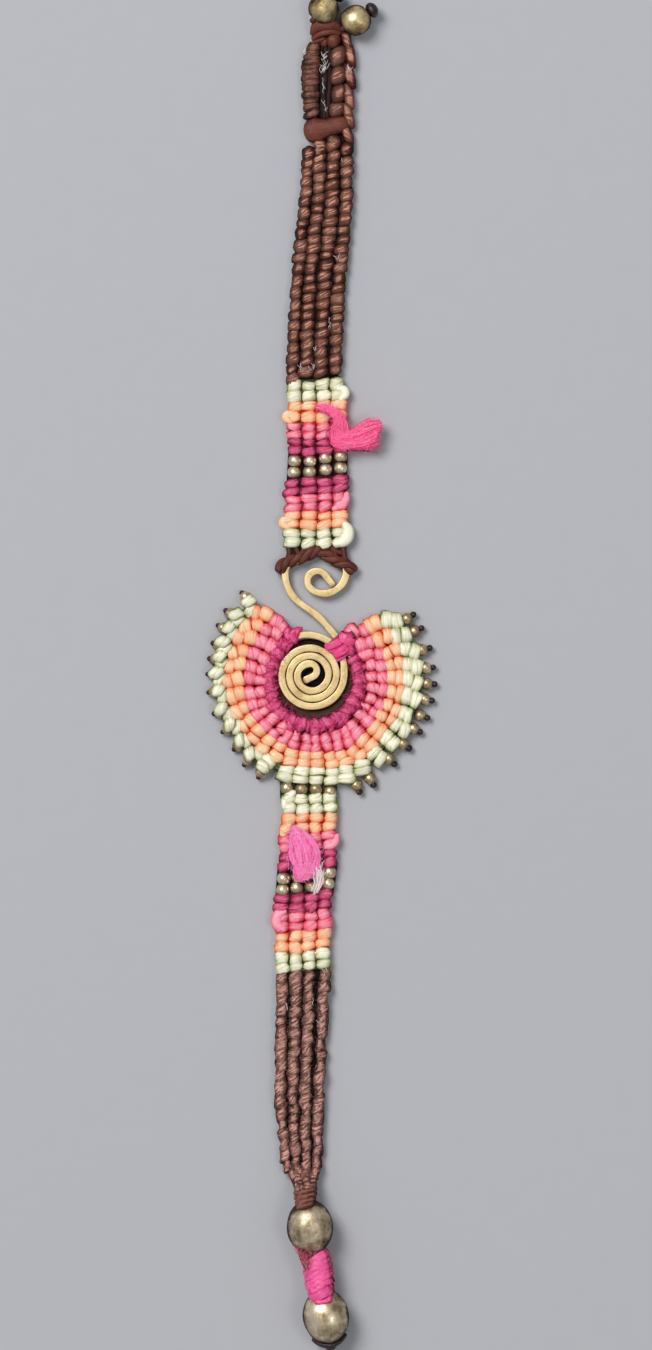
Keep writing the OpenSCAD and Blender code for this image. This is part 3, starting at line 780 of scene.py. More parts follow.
@dataclass(frozen=True)
class KnotShape:
    """One knot: a plump pillow wound round a core that runs along Y, one unit in each direction."""

    name: str
    slant: float = 0.08
    ends: float = 0.42
    plump: float = 2.6
    flat: float = 0.84
    # Strength of the painted shade towards the ends and on the flanks
    dark: float = 1.0
    sides: int = 10
    places: tuple[float, ...] = (-0.5, -0.455, -0.32, 0.0, 0.32, 0.455, 0.5)

    def build(self) -> Object:
        """Makes the object that the knots of a piece repeat."""
        angles = [math.tau * j / self.sides for j in range(self.sides)]
        rings, swells = [], []
        for y in self.places:
            r = self.ends + (1 - self.ends) * (1 - abs(2 * y) ** self.plump) ** (1 / self.plump)
            ring = []
            for a in angles:
                x, z = (math.copysign(abs(v) ** self.flat, v) * r / 2 for v in (math.cos(a), math.sin(a)))
                ring.append(Vector((x, y + self.slant * x * (1.15 - abs(y)), z)))
            rings.append(ring)
            swells.append(r)

        def deep(i: int, j: int) -> float:
            """Painted shade towards the ends, where the knots meet, and on the flanks."""
            flank = (1 - abs(math.sin(angles[j]))) ** 1.15
            return min(1.0, self.dark * (1.5 * (1 - swells[i]) ** 0.85 + 0.85 * flank))

        maker = MeshMaker()
        maker.tube(rings, [y + 0.5 for y in self.places], 4.0, deep, wrapped=True)
        return maker.stamp(self.name)


@dataclass
class Spot:
    """Where one knot sits, which way its core runs, and its size, in millimetres and degrees."""

    at: Vector
    heading: float
    width: float
    length: float
    height: float
    # Painted shade that darkens the whole knot
    shade: float = 0.0


class NodeTree(Nodes):
    """A Geometry Nodes tree under construction."""

    def __init__(self, name: str, inputs: dict[str, str]) -> None:
        """Starts a tree with a Geometry input, the named inputs, a seed, a finish and a Geometry output.

        Args:
            name: The tree's name.
            inputs: The type of each named input.
        """
        super().__init__(bpy.data.node_groups.new(name, "GeometryNodeTree"))
        face = self.tree.interface
        face.new_socket("Geometry", in_out="INPUT", socket_type="NodeSocketGeometry")
        self.ids = {}
        for key, kind in {**inputs, "Seed": "Int", "Finish": "Material"}.items():
            self.ids[key] = face.new_socket(key, in_out="INPUT", socket_type=f"NodeSocket{kind}").identifier
        face.new_socket("Geometry", in_out="OUTPUT", socket_type="NodeSocketGeometry")
        self.given = self.node("NodeGroupInput").outputs

    def named(self, mark: str) -> Socket:
        """Reads a vector that the guide points carry."""
        return self.out("GeometryNodeInputNamedAttribute", {"data_type": "FLOAT_VECTOR"}, {"Name": mark})

    def vector(self, operation: str, *values: object) -> Socket:
        """Adds a Vector Math node."""
        return self.out("ShaderNodeVectorMath", {"operation": operation}, dict(enumerate(values)))

    def chance(self, seed: Socket) -> Socket:
        """A random vector for each point, each part between -1 and 1."""
        sockets = {0: (-1, -1, -1), 1: (1, 1, 1), "Seed": seed}
        return self.out("FunctionNodeRandomValue", {"data_type": "FLOAT_VECTOR"}, sockets)

    def scaled(self, value: Socket, factor: Socket) -> Socket:
        """A vector times a number."""
        return self.out("ShaderNodeVectorMath", {"operation": "SCALE"}, {0: value, "Scale": factor})

    def copies(self, points: Socket, shape: Socket, turn: Socket, size: Socket) -> Socket:
        """Sets a turned and scaled copy of a shape's mesh on each point."""
        settings, sockets = {"transform_space": "ORIGINAL"}, {"Object": shape, "As Instance": True}
        copied = self.out("GeometryNodeObjectInfo", settings, sockets, "Geometry")
        sockets = {"Points": points, "Instance": copied, "Rotation": turn, "Scale": size}
        return self.out("GeometryNodeInstanceOnPoints", {}, sockets)

    def wandered(self, geometry: Socket, reach: Socket) -> Socket:
        """Moves every point a little by a slow noise, so that no two repeats are alike."""
        place = self.vector("MULTIPLY", self.out("GeometryNodeInputPosition"), (1000, 1000, 1000))
        noise = self.out("ShaderNodeTexNoise", {}, {"Vector": place, "Scale": 0.7, "Detail": 1.0}, "Color")
        shove = self.scaled(self.vector("SUBTRACT", noise, (0.5, 0.5, 0.5)), reach)
        return self.out("GeometryNodeSetPosition", {}, {"Geometry": geometry, "Offset": shove})

    def close(self, instances: Socket, wander: Socket | None = None) -> None:
        """Gives each instance its tint, makes them one mesh with the finish, and ends the tree.

        Args:
            instances: The instances.
            wander: How far the points of the whole may wander. They stay if left out.
        """
        sockets = {2: 0.0, 3: 1.0, "Seed": self.given["Seed"]}
        tint = self.out("FunctionNodeRandomValue", {"data_type": "FLOAT"}, sockets, 1)
        settings = {"data_type": "FLOAT", "domain": "INSTANCE"}
        sockets = {"Geometry": instances, "Name": Mark.TINT.value, "Value": tint}
        kept = self.out("GeometryNodeStoreNamedAttribute", settings, sockets)
        whole = self.out("GeometryNodeRealizeInstances", {}, {"Geometry": kept})
        shaped = whole if wander is None else self.wandered(whole, wander)
        dressed = self.out("GeometryNodeSetMaterial", {}, {"Geometry": shaped, "Material": self.given["Finish"]})
        self.node("NodeGroupOutput", {}, {0: dressed})

    def run(self, name: str, base: bpy.types.Mesh, values: dict[str, object]) -> Object:
        """Runs the tree on a mesh and keeps the result as a plain piece.

        Args:
            name: The piece's name.
            base: Mesh that the tree works on.
            values: A value for each named input.

        Returns:
            The piece, with no modifier left on it.
        """
        guide = bpy.data.objects.new(f"{name}_guide", base)
        bpy.context.scene.collection.objects.link(guide)
        modifier = guide.modifiers.new("tree", "NODES")
        modifier.node_group = self.tree
        for key, value in values.items():
            modifier[self.ids[key]] = value
        seen = bpy.context.evaluated_depsgraph_get()
        mesh = bpy.data.meshes.new_from_object(guide.evaluated_get(seen), preserve_all_data_layers=True, depsgraph=seen)
        mesh.name = name
        for vertex in mesh.vertices:
            vertex.co = rested(vertex.co)
        bpy.data.objects.remove(guide)
        for spare in ("turn", "size"):
            if spare in mesh.attributes:
                mesh.attributes.remove(mesh.attributes[spare])
        made = bpy.data.objects.new(name, mesh)
        bpy.context.scene.collection.objects.link(made)
        return made


class KnotTree(NodeTree):
    """Ties a knot at each guide point."""

    def __init__(self) -> None:
        """Builds the tree."""
        inputs = {"Shape": "Object", "Turn Jitter": "Float", "Size Jitter": "Float", "Wander": "Float"}
        super().__init__("tie_knots", inputs)
        given = self.given
        turn = self.vector("ADD", self.named("turn"), self.scaled(self.chance(given["Seed"]), given["Turn Jitter"]))
        next_seed = self.out("ShaderNodeMath", {"operation": "ADD"}, {0: given["Seed"], 1: SEED_STEP})
        swell = self.vector("ADD", self.scaled(self.chance(next_seed), given["Size Jitter"]), (1, 1, 1))
        size = self.vector("MULTIPLY", self.named("size"), swell)
        self.close(self.copies(given["Geometry"], given["Shape"], turn, size), given["Wander"])


class FuzzTree(NodeTree):
    """Covers the upper side of a mesh with short loose fibres."""

    def __init__(self) -> None:
        """Builds the tree."""
        super().__init__("raise_fuzz", {"Fibre": "Object", "Density": "Float", "Lean": "Float", "Length": "Float"})
        given = self.given
        normal = self.node("ShaderNodeSeparateXYZ", {}, {0: self.out("GeometryNodeInputNormal")})
        settings = {"data_type": "FLOAT", "operation": "GREATER_THAN"}
        above = self.out("FunctionNodeCompare", settings, {0: normal.outputs[2], 1: 0.3})
        sockets = {"Mesh": given["Geometry"], "Selection": above, "Density": given["Density"], "Seed": given["Seed"]}
        spread = self.node("GeometryNodeDistributePointsOnFaces", {}, sockets).outputs
        lean = self.out("FunctionNodeEulerToRotation", {}, {0: self.scaled(self.chance(given["Seed"]), given["Lean"])})
        turn = self.out("FunctionNodeRotateRotation", {"rotation_space": "LOCAL"}, {0: spread["Rotation"], 1: lean})
        swell = self.vector("ADD", self.vector("MULTIPLY", self.chance(given["Seed"]), (0.3, 0.3, 0.5)), (1, 1, 1))
        self.close(self.copies(spread["Points"], given["Fibre"], turn, self.scaled(swell, given["Length"])))


class Workshop:
    """What every part of the bracelet is made with: the finishes, the knots' shapes and the trees."""

    def __init__(self) -> None:
        """Builds the finishes, shapes and trees."""
        self.materials = {look: look.value.build() for look in Look}
        self.knots = KnotTree()
        self.fuzz = FuzzTree()
        self.pebble = KnotShape("pebble_knot", slant=0.14, ends=0.5, plump=2.4, dark=0.78).build()
        self.drum = KnotShape("drum_knot", slant=0.12, ends=0.66, plump=2.7, dark=0.86).build()
        self.bean = KnotShape("bean_knot", slant=0.26, ends=0.4, plump=2.3).build()
        self.worn = KnotShape("worn_knot", slant=0.38, ends=0.64, plump=2.1, flat=0.9, dark=0.95).build()
        self.falling = KnotShape("falling_knot", slant=-0.34, ends=0.4, plump=2.3, dark=0.62).build()
        self.coil = KnotShape("coil_turn", slant=0.3, ends=0.74, plump=2.0, dark=0.9).build()
        self.bar = KnotShape("inner_bar", slant=0.0, ends=0.8, sides=6, places=(-0.5, -0.3, 0.3, 0.5)).build()
        self.hair = self._hair()
        self.spares = (self.pebble, self.drum, self.bean, self.worn, self.falling, self.coil, self.bar, self.hair)

    @staticmethod
    def _hair() -> Object:
        """Makes a short curved fibre, one unit long and standing along Z."""
        rings = []
        for i, (x, y, z) in enumerate(((0.0, 0.0, -0.05), (0.05, 0.0, 0.3), (0.2, 0.03, 0.65), (0.45, 0.08, 0.9))):
            r = 0.03 * (1 - 0.22 * i)
            rings.append([Vector((x, y, z)) + Vector((r * math.cos(a), r * math.sin(a), 0)) for a in (0.0, 2.1, 4.2)])
        maker = MeshMaker()
        maker.tube(rings, [0.0, 0.3, 0.6, 1.0], 0.2, lambda i, j: 0.1)
        return maker.stamp("short_fibre")

    def settle(self, piece: Object, slot: str, *nodes: str) -> Object:
        """Hands a finished piece to the frame.

        Args:
            piece: The piece.
            slot: The record's material slot. Not used.
            *nodes: CAD nodes that it stands for.

        Returns:
            The piece.
        """
        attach(piece, "root")
        if nodes:
            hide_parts(*nodes)
        LOG.info("%s: %d faces, for %s", piece.name, len(piece.data.polygons), ", ".join(nodes) or "detail")
        return piece

    def lay(self, maker: "MeshMaker", name: str, look: Look, *nodes: str) -> Object:
        """Makes a piece of a maker's tubes, with its finish, and settles it."""
        return self.settle(maker.piece(name, self.materials[look]), look.value.slot, *nodes)

    def tie(
        self,
        name: str,
        spots: Sequence[Spot],
        shape: Object,
        look: Look,
        seed: int,
        turn: float = 4.0,
        size: float = 0.05,
        wander: float = 0.7,
        node: str = "",
    ) -> Object:
        """Makes a piece of knots.

        Args:
            name: The piece's name.
            spots: Where the knots sit.
            shape: The knot that is repeated.
            look: Its finish.
            seed: Seed of the unevenness.
            turn: How far a knot may turn, in degrees.
            size: How far its size may differ, as a share.
            wander: How far its shape may wander, in millimetres.
            node: The CAD node that it stands for, if there is one.

        Returns:
            The piece.
        """
        base = bpy.data.meshes.new(f"{name}_points")
        base.from_pydata([(s.at + SHIFT) * MM for s in spots], [], [])
        turns = [v for s in spots for v in (0.0, 0.0, math.radians(s.heading - 90))]
        sizes = [v * MM for s in spots for v in (s.width, s.length, s.height)]
        for key, values in (("turn", turns), ("size", sizes)):
            base.attributes.new(key, "FLOAT_VECTOR", "POINT").data.foreach_set("vector", values)
        base.attributes.new(Mark.SHADE.value, "FLOAT", "POINT").data.foreach_set("value", [s.shade for s in spots])
        values = {"Shape": shape, "Turn Jitter": math.radians(turn), "Size Jitter": size, "Wander": wander * MM}
        values.update(Seed=seed, Finish=self.materials[look])
        return self.settle(self.knots.run(name, base, values), look.value.slot, *([node] if node else []))

    def web(self, name: str, spots: Sequence[Spot], look: Look, seed: int) -> Object:
        """Makes a piece of inner cords, which lie still, in their spots' painted shade."""
        return self.tie(f"{name}_inner_cords", spots, self.bar, look, seed, 0, 0.0, 0.0)

    def grow(
        self, base: Object, name: str, look: Look, density: float, length: float, seed: int, slot: str = ""
    ) -> Object:
        """Raises loose fibres on a piece.

        Args:
            base: The piece they stand on.
            name: How their piece's name starts.
            look: Their finish.
            density: Fibres a square metre.
            length: Their length in millimetres.
            seed: Seed of their places.
            slot: Their material slot, where it isn't the finish's own.

        Returns:
            The fibres' piece.
        """
        values = {"Fibre": self.hair, "Density": density, "Lean": FUZZ_LEAN, "Length": length * MM}
        values.update(Seed=seed, Finish=self.materials[look])
        return self.settle(self.fuzz.run(f"{name}_fuzz", base.data.copy(), values), slot or look.value.slot)

    def fray(
        self,
        name: str,
        roots: Sequence[Patch],
        seed: int,
        reach: Row = (0.4, 1.2),
        z: Row = (1.2, 2.2),
        look: Look = Look.PALE,
    ) -> None:
        """Lays frayed fibres over the knots.

        Args:
            name: The piece's name.
            roots: Rows of place in pixels, half of the patch's height in pixels, and number of fibres.
            seed: Seed of their places.
            reach: Shortest and longest fibre, in millimetres.
            z: Lowest and highest, in millimetres.
            look: Their finish.
        """
        chance = random.Random(seed)
        maker = MeshMaker()
        for x, y, half, count in roots:
            for _ in range(count):
                a = photo(x + chance.gauss(0, 1.0), y + chance.uniform(-half, half), chance.uniform(*z))
                turn = math.radians(chance.uniform(45, 135))
                b = a + Vector((math.cos(turn), math.sin(turn), chance.uniform(-0.1, 0.25))) * chance.uniform(*reach)
                middle = (a + b) / 2 + Vector((chance.uniform(-0.25, 0.25), 0, 0.1))
                maker.sweep(smooth([a, middle, b], 3), FRAY_HALF, sides=3, tint=chance.random())
        self.settle(maker.piece(name, self.materials[look]), "brown_cord")


class Section(NamedTuple):
    """One section of a strap: distance along, middle across, width, height of the middle, slope of the rows."""

    y: float
    x: float
    width: float
    z: float
    slope: float


@dataclass
class Strap:
    """The strap's run from the neck to the buttonhole, as rows of a Section's values."""

    sections: tuple[tuple[float, ...], ...] = (
        (-84.9, -2.35, 2.1, 3.4, 0.0),
        (-82.9, -2.4, 2.9, 2.5, 0.0),
        (-80.8, -2.5, 4.3, 1.6, 0.0),
        (-78.1, -2.9, 6.4, 1.15, 0.0),
        (-68.5, -3.2, 7.7, 1.1, 0.0),
        (-52.5, -2.7, 8.3, 1.1, 0.0),
        (-47.7, -2.6, 8.8, 1.1, 0.05),
        (-42.1, -2.6, 9.0, 1.1, 0.1),
        (-35.2, -2.3, 9.2, 1.1, 0.14),
        (-31.6, -2.0, 9.2, 1.1, 0.12),
        (-25.5, -1.8, 9.0, 1.1, 0.02),
        (-19.8, -1.8, 8.9, 1.1, -0.08),
        (20.0, -0.5, 10.6, 1.1, 0.0),
        (23.5, -0.6, 10.7, 1.1, 0.0),
        (27.5, -0.4, 9.9, 1.1, 0.03),
        (31.2, -0.3, 9.7, 1.1, 0.08),
        (35.0, -0.3, 9.2, 1.1, 0.12),
        (40.3, -0.6, 9.4, 1.1, 0.1),
        (46.3, -0.7, 8.9, 1.1, 0.1),
        (48.3, -0.9, 8.7, 1.1, 0.08),
        (59.5, -0.5, 8.4, 1.1, 0.04),
        (68.3, 0.3, 8.5, 1.1, 0.04),
        (75.5, 1.0, 8.3, 1.1, 0.06),
        (82.0, 1.2, 7.9, 1.1, 0.2),
        (84.9, 1.2, 7.5, 1.1, 0.36),
    )

    def at(self, y: float) -> Section:
        """The section at a distance along."""
        return Section(y, *(lookup(y, [(s[0], s[i]) for s in self.sections]) for i in range(1, len(Section._fields))))

    def heading(self, y: float) -> float:
        """Direction of the columns there, in degrees."""
        a, b = self.at(y - 1.5), self.at(y + 1.5)
        return math.degrees(math.atan2(b.y - a.y, b.x - a.x))


@dataclass
class PlainStrap:
    """One of the two brown straps.

    A column is its middle as a share of the strap's width, its width, its knots' pitch, and how far from the
    strap's upper end they start.
    """

    name: str
    from_y: float
    to_y: float
    columns: tuple[tuple[float, ...], ...]
    seed: int
    worn: bool = False
    lean: float = 9.0
    frays: tuple[Patch, ...] = ()
    strap: Strap = field(default_factory=Strap)
    full_width: float = 7.6
    bar_pitch: float = 1.5
    bars_left_out: int = 0

    def spots(self) -> list[Spot]:
        """Where its knots sit, column by column."""
        chance = random.Random(self.seed)
        plump, long = ((1.0, 1.24), 1.34) if self.worn else ((1.2, 1.42), 1.22)
        out = []
        for share, broad, mean_pitch, start in self.columns:
            y = self.to_y - start
            while y > self.from_y + mean_pitch * 0.3:
                pitch = mean_pitch * chance.uniform(0.82, 1.2)
                s = self.strap.at(y - pitch / 2)
                u = share * s.width + chance.gauss(0, 0.05)
                at = Vector((s.x + u, y - pitch / 2 + s.slope * u, s.z + chance.uniform(-0.05, 0.08)))
                width = broad * min(1.0, s.width / self.full_width) * chance.uniform(*plump)
                heading = self.strap.heading(y) + self.lean * chance.uniform(0.3, 1.6)
                out.append(Spot(at, heading, width, pitch * long, STRAP_THICKNESS * chance.uniform(0.88, 1.0)))
                y -= pitch
        return out

    def bars(self) -> list[Spot]:
        """The inner cords that close the strap between its columns, in full painted shade, so the gaps between the
        columns show dark.
        """
        rows = round((self.to_y - self.from_y) / self.bar_pitch)
        out = []
        for row in range(rows - self.bars_left_out):
            s = self.strap.at(self.from_y + (row + 0.5) * (self.to_y - self.from_y) / rows)
            turn = math.degrees(math.atan(s.slope))
            at = Vector((s.x, s.y, s.z - 0.1))
            out.append(Spot(at, 90 + turn, s.width * 0.88, self.bar_pitch * 1.3, 1.0, shade=1.0))
        return out

    def build(self, shop: Workshop) -> None:
        """Ties the strap."""
        shape, look, wander = (shop.worn, Look.DUSTY, 1.2) if self.worn else (shop.bean, Look.BROWN, 0.8)
        tied = shop.tie(f"{self.name}_knots", self.spots(), shape, look, self.seed, 8, 0.08, wander, self.name)
        if self.worn:
            shop.grow(tied, self.name, look, 2.2e6, 0.55, self.seed)
        shop.web(self.name, self.bars(), look, self.seed)
        shop.fray(f"{self.name}_frayed_fibres", self.frays, self.seed)


@dataclass
class ColourBlock:
    """A block of four colours, two rows of each, with the middle of every knot in pixels, row by row."""

    number: int
    chart: tuple[tuple[Row, ...], ...]

    def at(self, row: int, column: int) -> Vector:
        """Place of a knot, or of the nearest one past the chart's edge."""
        x, y = self.chart[min(max(row, 0), len(self.chart) - 1)][min(max(column, 0), len(self.chart[0]) - 1)]
        return photo(x, y, STRAP_Z)

    def spot(self, row: int, column: int) -> Spot:
        """Place, direction and size of a knot, from its neighbours."""
        run = self.at(row - 1, column) - self.at(row + 1, column)
        across = self.at(row, column + 1) - self.at(row, column - 1)
        length = run.length / (2 if 0 < row < len(self.chart) - 1 else 1)
        width = across.length / (2 if 0 < column < len(self.chart[0]) - 1 else 1)
        heading = heading_of(across) + 90 + (7 if row % 2 else -2)
        return Spot(self.at(row, column), heading, width * 1.1, length * 1.17, STRAP_THICKNESS)

    def bar(self, row: int) -> Spot:
        """The inner cord between the columns of one row, in painted shade."""
        left, right = self.at(row, 0), self.at(row, len(self.chart[0]) - 1)
        way = right - left
        return Spot((left + right) / 2, heading_of(way) + 90, way.length * 1.22, 1.75, 1.1, shade=0.95)

    def build(self, shop: Workshop) -> None:
        """Ties the block, colour by colour. Each second block runs the other way."""
        looks = (Look.GREEN, Look.ORANGE, Look.PINK, Look.MAGENTA)
        seed = 100 + 10 * self.number
        for place, look in enumerate(looks if self.number % 2 else reversed(looks)):
            node = f"{look.name.lower()}_knots_{self.number}"
            rows = (2 * place, 2 * place + 1)
            spots = [self.spot(row, column) for row in rows for column in range(len(self.chart[0]))]
            tied = shop.tie(f"{node}_cords", spots, shop.pebble, look, seed + place, 14, 0.12, 0.9, node)
            shop.web(node, [self.bar(row) for row in rows], look, seed)
            if look is Look.MAGENTA:
                shop.grow(tied, node, look, 2.0e6, 0.6, seed)


@dataclass
class SpiralWire:
    """The brass wire: scroll, arch, S, ring and spiral, and the cords knotted over it.

    A bend is its radius and its turn in degrees, or a length and no turn.
    """

    width: float = 1.15
    height: float = 1.0
    z: float = 1.3
    start: Place = (1.97, 14.03, 127.0)
    scroll: tuple[Bend, ...] = ((1.85, 0), (1.6, 188), (3.0, 45), (3.65, 90))
    arch: tuple[Bend, ...] = ((1.1, 62), (3.6, 0), (2.4, 56), (3.6, 0), (1.1, 62))
    s_curve: tuple[Bend, ...] = ((0.45, 0), (5.9, 55), (2.1, 0), (11.2, -15), (5.65, 0), (7.23, -10))
    ring: tuple[Bend, ...] = ((7.23, -210), (7.94, -45), (5.47, -28))
    run_in: tuple[Bend, ...] = ((5.47, -17), (6.38, -45), (4.96, -45), (0.95, 0))
    first_radius: float = 5.14
    pitch: float = 1.248
    quarters: int = 11
    curl: tuple[Bend, ...] = ((1.09, -155), (1.25, 0))
    ropes: tuple[tuple[str, tuple[Row, ...]], ...] = (
        ("left", ((279.8, 570), (283, 565.5), (291, 561), (301, 557.5), (310, 553.5), (318.5, 549.5))),
        ("right", ((351.8, 570.5), (348, 566), (339.5, 562), (331.5, 557.8), (324, 553), (317.5, 550))),
    )
    drops: tuple[tuple[Row, ...], ...] = (
        ((288.5, 546), (289.5, 553), (287.5, 561)), ((295, 546.5), (297.5, 552), (300, 557)),
        ((304, 548), (302, 553), (296, 558)), ((309, 548), (311.5, 550.5), (316, 552)),
        ((343.5, 546), (344, 554), (345.5, 563)), ((336, 547.5), (334.5, 553), (338, 560)),
        ((329, 548), (326, 551.5), (321, 552)), ((331, 547.5), (335, 551), (341, 553)),
    )

    def follow(self, state: Place, bends: Sequence[Bend], step: float = 0.3) -> tuple[list[Vector], list[float], Place]:
        """Walks along some bends.

        Args:
            state: Place and direction at the start.
            bends: The bends.
            step: Distance between points, in millimetres.

        Returns:
            Points, the direction at each, and the place and direction at the end.
        """
        x, y, heading = state
        points, headings = [Vector((x, y, self.z))], [heading]
        for size, turn in bends:
            length = size * math.radians(abs(turn)) if turn else size
            count = max(2, round(length / step))
            half = turn / count / 2
            chord = 2 * size * math.sin(math.radians(abs(half))) if turn else length / count
            for _ in range(count):
                heading += half
                x += chord * math.cos(math.radians(heading))
                y += chord * math.sin(math.radians(heading))
                heading += half
                points.append(Vector((x, y, self.z)))
                headings.append(heading)
        return points, headings, (x, y, heading)

    def build(self, shop: Workshop) -> None:
        """Bends the wire and knots the cords over it."""
        spiral = [(self.first_radius - i * self.pitch / 4, -90) for i in range(self.quarters)]
        path, state = [], self.start
        for bends in (self.scroll, self.arch, self.s_curve, self.ring, (*self.run_in, *spiral, *self.curl)):
            points, turns, state = self.follow(state, bends)
            path.extend(points[1:] if path else points)
            if bends is self.ring:
                ring = (points, turns)
        chance = random.Random(17)
        waves = [(chance.uniform(0, math.tau), chance.uniform(150, 420)) for _ in range(4)]

        def wide(t: float) -> float:
            """Half of the width, a little uneven."""
            return self.width / 2 * (1 + 0.022 * sum(math.sin(p + k * t) for p, k in waves))

        maker = MeshMaker()
        maker.sweep(path, wide, self.height / 2, sides=32, square=0.25)
        shop.lay(maker, "spiral_brass_wire", Look.WIRE, "brass_wire")
        self._hitches(shop)
        self._ring_wrap(shop, *ring)

    def _hitches(self, shop: Workshop) -> None:
        """Lays the twisted brown cords over the arch, and the strands that run up to the green knots."""
        for side, line in self.ropes:
            maker = MeshMaker()
            maker.rope(trace(line, 8, self.z + 0.05), 1.07, 3, 5.6, tint=0.2, deep=0.05)
            shop.lay(maker, f"wire_hitch_{side}_rope", Look.WRAP, f"wire_hitch_{side}")
        maker = MeshMaker()
        for i, line in enumerate(self.drops):
            path = trace([(*place, z) for place, z in zip(line, (1.1, 1.5, 1.5))])
            maker.sweep(path, 0.48, 0.46, tint=0.15 + 0.1 * i, deep=0.15)
        shop.lay(maker, "wire_hitch_strands", Look.WRAP)

    def _ring_wrap(self, shop: Workshop, ring: list[Vector], turns: list[float]) -> None:
        """Winds the magenta cord round the ring's points, along the direction at each."""
        spots = []
        for i, (p, h) in enumerate(list(zip(ring, turns))[1::2]):
            swell = math.cos(math.tau * i / 3)
            # Turns between the swells get painted shade
            spots.append(Spot(p.copy(), h, 2.05 + 0.3 * swell, 1.1, 1.9 + 0.2 * swell, shade=0.14 - 0.14 * swell))
        wound = shop.tie("ring_wrap_turns", spots, shop.coil, Look.BRIGHT, 41, 14, 0.1, 0.4, "ring_wrap")
        shop.grow(wound, "ring_wrap", Look.BRIGHT, 4.0e6, 0.75, 42)


